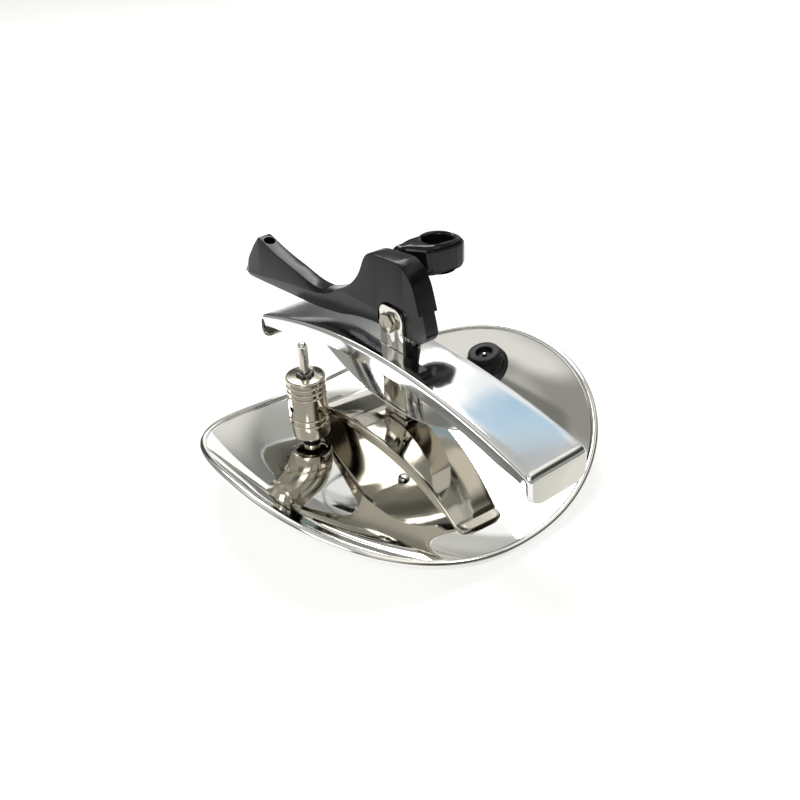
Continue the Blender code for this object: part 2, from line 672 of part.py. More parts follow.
def make_regulator_weight():
    """The bell-shaped weight: five turned grooves, four steam holes, a hollow that drops over the vent."""
    low, high, r = WEIGHT_LOW, WEIGHT_HIGH, WEIGHT_R
    profile = [(9.2 * MM, low), (r - 0.8 * MM, low), (r, low + 0.8 * MM)]
    for z in (26.0, 30.2, 45.6, 49.4, 53.2):
        z *= MM
        profile += [
            (r, z - 0.55 * MM), (r - 0.55 * MM, z - 0.3 * MM), (r - 0.55 * MM, z + 0.3 * MM), (r, z + 0.55 * MM),
        ]
    profile += [
        (r, high - 1.6 * MM), (r - 0.5 * MM, high - 0.5 * MM), (r - 1.6 * MM, high), (PIN_R + 0.3 * MM, high),
        (PIN_R + 0.3 * MM, high - 12.0 * MM), (9.2 * MM, high - 12.0 * MM),
    ]
    obj = lathe("regulator_weight", profile, steel("weight_nickel"), (VENT_X, VENT_Y), 40)
    for n in range(4):
        hole = cylinder("cut_steam_%d" % n, 2.1 * MM, 6 * MM, 20 * MM, (0, 0), axis="Y", steps=16)
        turn = Matrix.Rotation(math.radians(90.0 * n + 1.0), 4, "Z")
        shift = Matrix.Translation((VENT_X, VENT_Y, 37.6 * MM))
        hole.data.transform(shift @ turn)
        cut(obj, hole)
    return set_origin(obj, (VENT_X, VENT_Y, WEIGHT_LOW))


def make_lift_pin():
    """The rod through the weight's crown: rounded grip above, cone that closes the vent below."""
    high = WEIGHT_HIGH
    profile = [
        (0.0, 40.3 * MM), (0.9 * MM, 40.5 * MM), (2.6 * MM, 44.0 * MM), (PIN_R, 44.6 * MM), (PIN_R, high - 11.0 * MM),
        (PIN_R, PIN_TOP - 2.4 * MM), (PIN_R - 0.6 * MM, PIN_TOP - 0.9 * MM), (PIN_R - 1.7 * MM, PIN_TOP - 0.15 * MM),
        (0.0, PIN_TOP),
    ]
    obj = turned("lift_pin", profile, steel("pin_steel"), (VENT_X, VENT_Y), 24)
    return set_origin(obj, (VENT_X, VENT_Y, WEIGHT_LOW))


def make_pin_collar():
    """The low lobed nut that holds the rod in the weight's crown."""
    high = WEIGHT_HIGH + 0.3 * MM
    rings = []
    steps = 48
    for i in range(steps):
        a = 2.0 * math.pi * i / steps
        lobe = 0.45 * MM * math.cos(6.0 * a)
        outer = 5.2 * MM + lobe
        ring = []
        inner, top = PIN_R + 0.3 * MM, high + 1.8 * MM
        for r, z in ((inner, high), (outer, high), (outer, high + 1.3 * MM), (outer - 0.5 * MM, top), (inner, top)):
            ring.append((VENT_X + r * math.cos(a), VENT_Y + r * math.sin(a), z))
        rings.append(ring)
    obj = loft("pin_collar", rings, steel("collar_steel"), closed=True)
    return set_origin(obj, (VENT_X, VENT_Y, WEIGHT_LOW))


def on_lid_under(x, y, gap, lean):
    """The height, along the plug's own axis, at which a point (x, y) of the plug meets the lid plus a gap."""
    z = 0.0
    for _ in range(12):
        px, py, pz = leaned(x, y, z, lean)
        z += (lid_z(px, py) + gap - pz) * 0.8
    return z


def make_safety_plug():
    """The rubber plug: skirt on the lid, stepped waist, dished top with a bore, and a flange under the lid."""
    lean = PLUG_LEAN
    steps = 40
    rows = [
        (1.9, -6.5, 0), (9.0, -6.5, 0), (9.6, -5.6, 0), (9.6, None, -1), (6.9, None, -1), (6.9, None, 1),
        (12.8, None, 1), (13.0, 4.3, 0), (12.4, 5.4, 0), (11.4, 5.8, 0), (11.2, 7.6, 0), (11.0, 9.6, 0),
        (10.2, 10.4, 0), (6.2, 10.4, 0), (5.4, 9.8, 0), (5.2, 7.4, 0), (1.9, 7.2, 0),
    ]
    rings = []
    for i in range(steps):
        a = 2.0 * math.pi * i / steps
        ring = []
        for r, z, on in rows:
            x, y = r * MM * math.cos(a), r * MM * math.sin(a)
            if on:
                gap = GAP if on > 0 else -LID_SHEET - GAP
                h = on_lid_under(x, y, gap, lean)
            else:
                h = z * MM
            ring.append(leaned(x, y, h, lean))
        rings.append(ring)
    obj = loft("safety_plug", rings, black("plug_rubber"), closed=True)
    return set_origin(obj, leaned(0.0, 0.0, 0.0, lean))


def make_safety_pin():
    """The small metal pin in the plug's bore. It rises when the pressure is too high."""
    profile = [
        (0.0, -13.4), (2.6, -13.3), (3.0, -12.8), (3.0, -11.3), (2.8, -11.0), (1.55, -11.0), (1.55, 8.1), (1.35, 8.8),
        (0.8, 9.1), (0.0, 9.2),
    ]
    obj = turned("safety_pin", [(r * MM, z * MM) for r, z in profile], steel("pin_bright"), (0.0, 0.0), 20)
    for vert in obj.data.vertices:
        x, y, z = vert.co
        vert.co = leaned(x, y, z, PLUG_LEAN)
    return set_origin(obj, leaned(0.0, 0.0, 0.0, PLUG_LEAN))


def clear_scene():
    for obj in list(bpy.data.objects):
        bpy.data.objects.remove(obj, do_unlink=True)


def main():
    clear_scene()
    make_lid_shell()
    make_lid_bridge()
    make_leaf_spring()
    make_pressure_bar()
    make_link_stirrup()
    make_link_rivet()
    make_lever_handle()
    make_ring_loop()
    make_pivot_bolt()
    make_pivot_nut()
    make_vent_gasket()
    make_vent_pipe()
    make_vent_locknut()
    make_regulator_weight()
    make_lift_pin()
    make_pin_collar()
    make_safety_plug()
    make_safety_pin()


main()
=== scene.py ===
import math

import bmesh
import bpy
import numpy as np
from mathutils import Matrix, Vector


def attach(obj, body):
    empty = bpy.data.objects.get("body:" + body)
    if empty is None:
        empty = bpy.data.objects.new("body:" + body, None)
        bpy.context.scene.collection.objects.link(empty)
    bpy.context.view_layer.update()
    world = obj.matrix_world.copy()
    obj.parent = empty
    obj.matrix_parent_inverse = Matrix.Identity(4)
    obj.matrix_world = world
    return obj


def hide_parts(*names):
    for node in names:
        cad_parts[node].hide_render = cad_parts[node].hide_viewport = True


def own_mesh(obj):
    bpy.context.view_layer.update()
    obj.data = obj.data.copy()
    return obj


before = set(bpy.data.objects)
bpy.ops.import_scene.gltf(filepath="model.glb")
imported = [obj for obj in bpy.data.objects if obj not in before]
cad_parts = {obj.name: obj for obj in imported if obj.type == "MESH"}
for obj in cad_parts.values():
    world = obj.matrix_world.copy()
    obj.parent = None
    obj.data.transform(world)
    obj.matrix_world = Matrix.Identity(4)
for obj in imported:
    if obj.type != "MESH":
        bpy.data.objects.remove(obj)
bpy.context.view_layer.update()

MM = 0.001
# The lid's datum point in the row frame. Shapes below are given in millimetres from it.
DATUM = np.array([19.78, 0.0, -4.10])

# Lid: the oval and its power, the crown and its fall along X, the rise at the rim and its power.
LID_HALF_X, LID_HALF_Y, LID_OVAL = 110.8, 120.0, 2.25
LID_CROWN, LID_DROP_X = 11.0, 1.0e-3
LID_RIM_X, LID_RIM_Y, LID_POWER = 8.4, 41.5, 4.5
LID_SHEET, BEAD_R, GAP = 1.2, 2.3, 0.3

# Bar: its middle line and the fall of its top, its channel section, and its bent-down ends.
BAR_Y, BAR_TOP, BAR_SAG = 3.0, 84.1, 1.19e-3
BAR_HALF_W, BAR_FLARE, BAR_SHEET, BAR_FLANGE = 19.5, 1.9, 1.5, 9.5
BAR_BEND_X, BAR_END_R, BAR_END_Z, BAR_END_CORNER = 121.5, 6.3, 48.0, 7.0

# Bridge: its place and turn, its width in the middle and at a foot, its section and its tabs.
BRIDGE_Y, BRIDGE_YAW = -5.3, math.radians(-3.1)
BRIDGE_HALF_W, BRIDGE_FOOT_W = 22.4, 14.7
BRIDGE_CROWN, BRIDGE_SHEET, BRIDGE_FLANGE = 1.0, 1.5, 5.5
BRIDGE_FOOT_X, BRIDGE_TAB = 78.0, 6.0
# The height of the bridge's sides at each distance from its middle.
BRIDGE_EDGE = (
    (0.0, 38.0), (10.0, 37.6), (20.0, 36.4), (30.0, 34.4), (40.0, 31.5), (50.0, 27.6),
    (58.0, 23.5), (65.0, 19.2), (70.0, 15.6), (74.5, 11.9), (78.0, 9.2),
)

# Leaf spring: its size, and the second and fourth powers of its curve.
LEAF_Z, LEAF_SHEET, LEAF_HALF_W, LEAF_HALF_L = 43.3, 0.9, 8.0, 86.0
LEAF_CURVE, LEAF_CURVE4 = 3.4e-3, 74.0e-9

# Stirrup, pivot and lever.
LINK_IN, LINK_SHEET, LINK_HALF_X, LINK_FOOT_Z = 4.75, 1.8, 10.2, 39.4
RIVET_HOLE_R = 2.7
PIVOT_Z, PIVOT_R = 101.4, 2.95
LEVER_HALF_W, LEVER_CORE, LEVER_POCKET_R = 6.75, 4.4, 11.7
LEVER_TIP_X, LEVER_CREST_X, LEVER_HEAD_X = -166.5, -144.0, 28.6
HANG_HOLE_X, HANG_HOLE_R = -137.0, 3.9

# Vent, weight and overpressure plug.
VENT_X, VENT_Y = -48.8, -34.2
WEIGHT_R, WEIGHT_LOW, WEIGHT_HIGH, WEIGHT_HOLLOW_R = 12.5, 16.3, 57.6, 9.2
PIN_R, PIN_TOP = 3.1, 80.0
PLUG_X, PLUG_Y = -23.5, 95.0
PLUG_LEAN = math.radians(12.0)


# ---------------------------------------------------------------- camera

CAMERA_AZIMUTH, CAMERA_ELEVATION, CAMERA_ROLL = map(math.radians, (52.471, 31.785, -2.783))
CAMERA_AIM = np.array([-18.74, 10.98, 33.89])
CAMERA_REACH = 0.58397  # metres from the point it looks at
CAMERA_LENS, CAMERA_SENSOR, CAMERA_SHIFT = 41.7, 36.0, 0.0066


def add_camera():
    """The scene's camera, above and to the front right of the lid, rolled a little about its own view."""
    azimuth, elevation, roll = CAMERA_AZIMUTH, CAMERA_ELEVATION, CAMERA_ROLL
    level = math.cos(elevation)
    away = Vector((math.sin(azimuth) * level, -math.cos(azimuth) * level, math.sin(elevation)))
    target = Vector((CAMERA_AIM + DATUM) * MM)
    right = Vector((math.cos(azimuth), math.sin(azimuth), 0.0))
    up = right.cross(-away)
    turned_right = math.cos(roll) * right + math.sin(roll) * up
    turned_up = math.cos(roll) * up - math.sin(roll) * right
    data = bpy.data.cameras.new("camera")
    data.sensor_width = CAMERA_SENSOR
    data.lens = CAMERA_LENS
    data.shift_x = CAMERA_SHIFT
    data.clip_start = 0.01
    obj = bpy.data.objects.new("camera", data)
    obj.matrix_world = Matrix((turned_right, turned_up, away)).transposed().to_4x4()
    obj.matrix_world.translation = target + away * CAMERA_REACH
    bpy.context.scene.collection.objects.link(obj)
    bpy.context.scene.camera = obj


# ---------------------------------------------------------------- materials

class Nodes:
    """Short calls for building one material's node tree."""

    def __init__(self, name):
        self.mat = bpy.data.materials.new(name)
        self.mat.use_nodes = True
        self.tree = self.mat.node_tree
        self.shader = self.tree.nodes["Principled BSDF"]
        coords = self.tree.nodes.new("ShaderNodeTexCoord")
        self.place = coords.outputs["Object"]

    def link(self, a, b):
        self.tree.links.new(a, b)

    def stretched(self, scale):
        """The object's own coordinates, scaled differently along each axis."""
        node = self.tree.nodes.new("ShaderNodeMapping")
        node.inputs["Scale"].default_value = scale
        self.link(self.place, node.inputs["Vector"])
        return node.outputs["Vector"]

    def noise(self, scale, detail=3.0, vector=None):
        node = self.tree.nodes.new("ShaderNodeTexNoise")
        node.inputs["Scale"].default_value = scale
        node.inputs["Detail"].default_value = detail
        self.link(vector or self.place, node.inputs["Vector"])
        return node.outputs["Fac"]

    def span(self, value, low, high, to_low, to_high):
        """Value carried from the range low..high to the range to_low..to_high."""
        node = self.tree.nodes.new("ShaderNodeMapRange")
        for name, number in (("From Min", low), ("From Max", high), ("To Min", to_low), ("To Max", to_high)):
            node.inputs[name].default_value = number
        self.link(value, node.inputs["Value"])
        return node.outputs["Result"]

    def mix(self, factor, a, b):
        """Colour a where factor is 0, colour b where it is 1."""
        node = self.tree.nodes.new("ShaderNodeMix")
        node.data_type = "RGBA"
        self.link(factor, node.inputs["Factor"])
        node.inputs["A"].default_value = (*a, 1.0)
        node.inputs["B"].default_value = (*b, 1.0)
        return node.outputs["Result"]

    def add(self, a, b):
        node = self.tree.nodes.new("ShaderNodeMath")
        node.operation = "ADD"
        self.link(a, node.inputs[0])
        self.link(b, node.inputs[1])
        return node.outputs[0]

    def bump(self, height, strength, distance):
        """Lets height raise the surface by up to distance, in metres."""
        node = self.tree.nodes.new("ShaderNodeBump")
        node.inputs["Strength"].default_value = strength
        node.inputs["Distance"].default_value = distance
        self.link(height, node.inputs["Height"])
        self.link(node.outputs["Normal"], self.shader.inputs["Normal"])


def steel(name, light, dark, rough=(0.03, 0.07), grain=(60.0, 900.0, 900.0), grain_depth=0.00001):
    """Polished metal: slightly uneven tint, drifting haze, and fine polishing lines."""
    n = Nodes(name)
    tint = n.span(n.noise(14.0, 2.0), 0.35, 0.65, 0.0, 1.0)
    n.link(n.mix(tint, dark, light), n.shader.inputs["Base Color"])
    n.shader.inputs["Metallic"].default_value = 1.0
    haze = n.span(n.noise(55.0, 4.0), 0.3, 0.7, rough[0], rough[1])
    lines = n.noise(1.0, 2.0, n.stretched(grain))
    smear = n.span(lines, 0.35, 0.75, 0.0, 0.35 * (rough[1] - rough[0]))
    n.link(n.add(haze, smear), n.shader.inputs["Roughness"])
    n.bump(lines, 0.25, grain_depth)
    return n.mat


def plastic(name, colour, worn, rough=(0.26, 0.36), pores=1400.0, depth=0.00003, sheen=0.3):
    """Moulded plastic: faint grain, cloudy gloss, a few rubbed patches."""
    n = Nodes(name)
    rub = n.span(n.noise(34.0, 5.0), 0.55, 0.8, 0.0, 1.0)
    n.link(n.mix(rub, colour, worn), n.shader.inputs["Base Color"])
    gloss = n.span(n.noise(90.0, 3.0), 0.3, 0.7, rough[0], rough[1])
    n.link(gloss, n.shader.inputs["Roughness"])
    n.shader.inputs["Specular IOR Level"].default_value = sheen
    n.bump(n.noise(pores, 2.0), 0.35, depth)
    return n.mat


LID_STEEL = steel(
    "mirror_lid", (0.84, 0.835, 0.81), (0.78, 0.775, 0.75), (0.02, 0.055), (25.0, 500.0, 500.0), 0.000004,
)
BRIDGE_STEEL = steel(
    "mirror_bridge", (0.49, 0.46, 0.395), (0.43, 0.40, 0.34), (0.05, 0.10), (40.0, 700.0, 700.0), 0.000006,
)
LEAF_STEEL = steel(
    "polished_leaf", (0.80, 0.79, 0.77), (0.72, 0.71, 0.68), (0.05, 0.12), (40.0, 1100.0, 1100.0), 0.00001,
)
BAR_STEEL = steel(
    "polished_bar", (0.84, 0.845, 0.85), (0.77, 0.78, 0.79), (0.06, 0.14), (1300.0, 14.0, 1300.0), 0.00003,
)
# A darker, rougher copy of the bar's steel for the faces of its bent-down ends: the darkening is painted
# shade.
SHADED_END_STEEL = steel(
    "bar_end_painted_shade", (0.60, 0.59, 0.53), (0.40, 0.39, 0.34), (0.10, 0.20), (300.0, 60.0, 300.0), 0.00003,
)
LINK_STEEL = steel(
    "polished_link", (0.78, 0.765, 0.73), (0.70, 0.68, 0.64), (0.06, 0.13), (900.0, 900.0, 50.0), 0.00001,
)
BOLT_STEEL = steel(
    "bright_bolt", (0.46, 0.43, 0.36), (0.32, 0.30, 0.25), (0.12, 0.22), (700.0, 300.0, 700.0), 0.00002,
)
NICKEL = steel(
    "nickel_plate", (0.74, 0.70, 0.61), (0.62, 0.58, 0.49), (0.09, 0.17), (120.0, 120.0, 2600.0), 0.00002,
)
PIN_STEEL = steel(
    "bright_pin", (0.78, 0.76, 0.72), (0.68, 0.66, 0.62), (0.07, 0.13), (120.0, 120.0, 2600.0), 0.00001,
)
# Steel darkened far below real steel for the collar at the pin's foot: painted dark reflection.
DARK_STEEL = steel(
    "collar_painted_reflection", (0.20, 0.195, 0.185), (0.11, 0.105, 0.10), (0.16, 0.30), (500.0, 500.0, 500.0), 0.00002,
)
SATIN_BLACK = plastic(
    "satin_black", (0.0045, 0.0047, 0.0055), (0.0075, 0.0075, 0.0080), (0.17, 0.25), sheen=0.25,
)
GLOSS_BLACK = plastic(
    "gloss_black", (0.0055, 0.0055, 0.0062), (0.009, 0.009, 0.010), (0.05, 0.10), 500.0, 0.00001, 0.32,
)
RUBBER = plastic(
    "black_rubber", (0.006, 0.006, 0.0065), (0.013, 0.013, 0.013), (0.34, 0.50), 1800.0, 0.00004, 0.2,
)


# ---------------------------------------------------------------- mesh helpers

def smooth_table(table, x):
    """A smooth curve through the table's points, without overshoot."""
    xs = np.array([p[0] for p in table], float)
    ys = np.array([p[1] for p in table], float)
    slopes = np.diff(ys) / np.diff(xs)
    tangents = np.zeros(len(xs))
    for i in range(1, len(xs) - 1):
        a, b = slopes[i - 1], slopes[i]
        tangents[i] = 0.0 if a * b <= 0.0 else 2.0 * a * b / (a + b)
    tangents[0], tangents[-1] = slopes[0], slopes[-1]
    x = min(max(x, xs[0]), xs[-1])
    i = min(max(int(np.searchsorted(xs, x) - 1), 0), len(xs) - 2)
    h = xs[i + 1] - xs[i]
    t = (x - xs[i]) / h
    h00, h10 = 2 * t**3 - 3 * t**2 + 1, t**3 - 2 * t**2 + t
    h01, h11 = -2 * t**3 + 3 * t**2, t**3 - t**2
    return float(h00 * ys[i] + h10 * h * tangents[i] + h01 * ys[i + 1] + h11 * h * tangents[i + 1])


def make(name, verts, faces, mat):
    """A smooth object from points in millimetres about the datum, its faces turned outwards."""
    points = (np.array(verts, float) + DATUM) * MM
    mesh = bpy.data.meshes.new(name)
    mesh.from_pydata(points.tolist(), [], faces)
    bm = bmesh.new()
    bm.from_mesh(mesh)
    bmesh.ops.recalc_face_normals(bm, faces=bm.faces)
    if bm.calc_volume(signed=True) < 0.0:
        bmesh.ops.reverse_faces(bm, faces=bm.faces)
    for face in bm.faces:
        face.smooth = True
    bm.to_mesh(mesh)
    bm.free()
    if mat:
        mesh.materials.append(mat)
    obj = bpy.data.objects.new(name, mesh)
    bpy.context.scene.collection.objects.link(obj)
    return obj


def loft(name, rings, mat, closed=False):
    """Rings of equal length joined by quads; an open loft gets a cap at each end."""
    count = len(rings[0])
    verts = [p for ring in rings for p in ring]
    faces = []
    spans = len(rings) if closed else len(rings) - 1
    for i in range(spans):
        a = i * count
        b = ((i + 1) % len(rings)) * count
        for j in range(count):
            k = (j + 1) % count
            faces.append((a + j, a + k, b + k, b + j))
    if not closed:
        faces.append(tuple(range(count)))
        faces.append(tuple((len(rings) - 1) * count + j for j in range(count)))
    return make(name, verts, faces, mat)


def lathe(name, profile, mat, at, steps=96, hexagon=()):
    """A closed profile of (radius, height) turned about the upright line through at."""
    rings = []
    for i in range(steps):
        a = 2.0 * math.pi * i / steps
        ring = []
        for n, (r, z) in enumerate(profile):
            if n in hexagon:
                r /= math.cos((a + math.pi / 6.0) % (math.pi / 3.0) - math.pi / 6.0)
            ring.append((at[0] + r * math.cos(a), at[1] + r * math.sin(a), z))
        rings.append(ring)
    return loft(name, rings, mat, closed=True)


def turned(name, profile, mat, at, steps=64):
    """A solid turned shape, its profile running from the axis at the bottom to the axis at the top."""
    inner = profile[1:-1]
    count = len(inner)
    verts = [(at[0], at[1], profile[0][1])]
    for i in range(steps):
        a = 2.0 * math.pi * i / steps
        verts += [(at[0] + r * math.cos(a), at[1] + r * math.sin(a), z) for r, z in inner]
    verts.append((at[0], at[1], profile[-1][1]))
    top = len(verts) - 1
    faces = []
    for i in range(steps):
        a = 1 + i * count
        b = 1 + ((i + 1) % steps) * count
        faces.append((0, b, a))
        faces.append((top, a + count - 1, b + count - 1))
        faces += [(a + j, b + j, b + j + 1, a + j + 1) for j in range(count - 1)]
    return make(name, verts, faces, mat)


def prism(name, outline, low, high, mat, axis="Y"):
    """A flat outline carried from low to high along the axis, Y or Z."""
    rings = []
    for depth in (low, high):
        rings.append([(u, depth, v) if axis == "Y" else (u, v, depth) for u, v in outline])
    return loft(name, rings, mat)


def rod(name, r, low, high, at, axis="Z", steps=64):
    """A plain cylinder, for cutting a hole or for joining to a piece."""
    turns = np.linspace(0, 2 * math.pi, steps, endpoint=False)
    circle = [(at[0] + r * math.cos(t), at[1] + r * math.sin(t)) for t in turns]
    return prism(name, circle, low, high, None, axis)


def box(name, low, high):
    """A plain block between two corners."""
    outline = [(low[0], low[1]), (high[0], low[1]), (high[0], high[1]), (low[0], high[1])]
    return prism(name, outline, low[2], high[2], None, "Z")


def carve(obj, cutters, operation="DIFFERENCE"):
    """Cuts the cutters from obj, or joins them to it, for good."""
    for cutter in cutters:
        mod = obj.modifiers.new("cut", "BOOLEAN")
        mod.operation = operation
        mod.solver = "EXACT"
        mod.object = cutter
        settle(obj)
        bpy.data.objects.remove(cutter, do_unlink=True)


def settle(obj):
    """Replaces obj's mesh with what its modifiers make of it."""
    graph = bpy.context.evaluated_depsgraph_get()
    mesh = bpy.data.meshes.new_from_object(obj.evaluated_get(graph))
    obj.modifiers.clear()
    obj.data = mesh


def soften(obj, width, segments=3, angle=35.0):
    """Rounds the edges sharper than angle."""
    mod = obj.modifiers.new("edges", "BEVEL")
    mod.width = width * MM
    mod.segments = segments
    mod.limit_method = "ANGLE"
    mod.angle_limit = math.radians(angle)
    mod.harden_normals = False
    settle(obj)


def crease(obj, angle=32.0):
    """Smooth shading, with an edge where two faces meet at more than angle."""
    for face in obj.data.polygons:
        face.use_smooth = True
    obj.data.set_sharp_from_angle(angle=math.radians(angle))


def stands_for(obj, body, node):
    """Makes obj the visible form of a CAD node, carried by its body."""
    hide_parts(node)
    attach(obj, body)


# ---------------------------------------------------------------- shapes

def lid_z(x, y):
    """The lid's upper face: a crown that falls along X, then a rise towards the rim, steepest along Y."""
    rho = ((abs(x) / LID_HALF_X) ** LID_OVAL + (abs(y) / LID_HALF_Y) ** LID_OVAL) ** (1.0 / LID_OVAL)
    far = x * x + y * y + 1e-9
    rise = (LID_RIM_X * x * x + LID_RIM_Y * y * y) / far
    return LID_CROWN - LID_DROP_X * x * x + rise * rho**LID_POWER


def make_lid():
    """The oval sheet, its points on spokes from the centre, out over the rolled rim and back underneath."""
    steps, rows = 288, 44
    shares = [math.sin(0.5 * math.pi * i / rows) for i in range(1, rows)]
    bead = [math.radians(165.0 - 310.0 * i / 18.0) for i in range(19)]
    verts = [(0.0, 0.0, lid_z(0, 0))]
    for i in range(steps):
        a = 2.0 * math.pi * i / steps
        c, s = math.cos(a), math.sin(a)
        edge = ((abs(c) / LID_HALF_X) ** LID_OVAL + (abs(s) / LID_HALF_Y) ** LID_OVAL) ** (-1.0 / LID_OVAL)
        reach = edge - 2.0 * BEAD_R
        ring = [(reach * k * c, reach * k * s, lid_z(reach * k * c, reach * k * s)) for k in shares]
        base = lid_z(reach * c, reach * s) + 0.3
        for b in bead:
            r = reach + BEAD_R + BEAD_R * math.cos(b)
            ring.append((r * c, r * s, base + BEAD_R * math.sin(b)))
        for k in reversed(shares):
            ring.append((reach * k * c, reach * k * s, lid_z(reach * k * c, reach * k * s) - LID_SHEET))
        verts += ring
        count = len(ring)
    verts.append((0.0, 0.0, lid_z(0, 0) - LID_SHEET))
    last = len(verts) - 1
    faces = []
    for i in range(steps):
        a = 1 + i * count
        b = 1 + ((i + 1) % steps) * count
        faces.append((0, a, b))
        faces.append((last, b + count - 1, a + count - 1))
        faces += [(a + j, b + j, b + j + 1, a + j + 1) for j in range(count - 1)]
    obj = make("lid", verts, faces, LID_STEEL)
    stands_for(obj, "lid", "lid_shell")


def bridge_xy(along, across):
    """A point given along and across the bridge, which stands slightly askew on the lid."""
    c, s = math.cos(BRIDGE_YAW), math.sin(BRIDGE_YAW)
    return c * along - s * across, BRIDGE_Y + s * along + c * across


def make_bridge():
    """The arch over the lid: crowned top, side flanges turned down, round-cornered tabs at its feet."""
    foot, edge_r, corner, t = BRIDGE_FOOT_X, 1.3, 4.0, BRIDGE_SHEET
    tab = list(np.linspace(foot + 1.0, foot + BRIDGE_TAB, 5))
    stations = [-x for x in reversed(tab)] + list(np.linspace(-foot, foot, 121)) + tab
    quarter = [math.radians(15.0 * i) for i in range(7)]
    rings = []
    for x in stations:
        far = abs(x)
        u = min(far / foot, 1.0)
        half = BRIDGE_HALF_W - (BRIDGE_HALF_W - BRIDGE_FOOT_W) * u**1.2
        if far > foot:
            left = (far - foot) / BRIDGE_TAB
            half -= corner * (1.0 - math.sqrt(max(0.0, 1.0 - left**4)))
        crown = BRIDGE_CROWN * max(0.0, 1.0 - (far / (0.8 * foot)) ** 2)
        turned_down = min(1.0, max(0.0, (foot - 2.0 - far) / 14.0))
        turned_down = turned_down * turned_down * (3.0 - 2.0 * turned_down)
        drop = max(BRIDGE_FLANGE * turned_down, BRIDGE_SHEET + 0.1)

        def top(v, x=x, far=far, crown=crown, half=half):
            """The height of the upper face at v, which runs from -1 to 1 across the arch."""
            low = lid_z(*bridge_xy(x, half * v)) + 2.0 * GAP + BRIDGE_SHEET
            if far >= foot:
                return low
            return max(smooth_table(BRIDGE_EDGE, far) + crown * (1.0 - v * v), low)

        flats = np.linspace(-1.0, 1.0, 17) * (half - edge_r) / half
        cy, cz = half - edge_r, top((half - edge_r) / half) - edge_r
        edge = [(cy + edge_r * math.cos(a), cz + edge_r * math.sin(a)) for a in quarter]
        low_z = top(1.0) - 0.4 - drop
        section = [(half, low_z)] + edge + [(half * v, top(v)) for v in flats[::-1][1:-1]]
        section += [(-y, z) for y, z in reversed(edge)] + [(-half, low_z)]
        inside_z = top(1.0) - t - 1.2 * turned_down
        under = [(-(half - t), low_z), (-(half - t), inside_z)]
        under += [(half * v * (half - t - 0.6) / half, top(v) - t) for v in flats]
        under += [(half - t, inside_z), (half - t, low_z)]
        rings.append([(*bridge_xy(x, y), z) for y, z in section + under])
    obj = loft("bridge", rings, BRIDGE_STEEL)
    carve(obj, [rod("hole", RIVET_HOLE_R, 30.0, 60.0, (0.0, BAR_Y))])
    crease(obj, 40.0)
    stands_for(obj, "lid", "lid_bridge")


def make_leaf():
    """The spring strip, high at both ends and slotted for the stirrup's ears; its curve is flattest in the
    middle, under the bar.
    """
    rings = []
    for x in np.linspace(-LEAF_HALF_L, LEAF_HALF_L, 121):
        z = LEAF_Z + LEAF_CURVE * x**2 + LEAF_CURVE4 * x**4
        w, t, r = LEAF_HALF_W, LEAF_SHEET, 0.25
        left = LEAF_HALF_L - abs(x)
        w -= 2.5 * (1.0 - math.sqrt(max(0.0, 1.0 - (1.0 - min(left / 2.5, 1.0)) ** 2)))
        section = [
            (-w, z + r), (-w + r, z), (w - r, z), (w, z + r),
            (w, z + t - r), (w - r, z + t), (-w + r, z + t), (-w, z + t - r),
        ]
        rings.append([(x, BAR_Y + y, h) for y, h in section])
    obj = loft("leaf", rings, LEAF_STEEL)
    slots = []
    for side in (-1.0, 1.0):
        ys = sorted((BAR_Y + side * (LINK_IN - 0.4), BAR_Y + side * (LINK_IN + LINK_SHEET + 0.4)))
        slots.append(box("slot", (-LINK_HALF_X - 0.6, ys[0], 30.0), (LINK_HALF_X + 0.6, ys[1], 60.0)))
    carve(obj, slots)
    crease(obj, 40.0)
    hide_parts("leaf_spring")
    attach(obj, "lid")
    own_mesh(obj)


def bar_z(x):
    """The height of the bar's top along its length."""
    return BAR_TOP - BAR_SAG * x * x


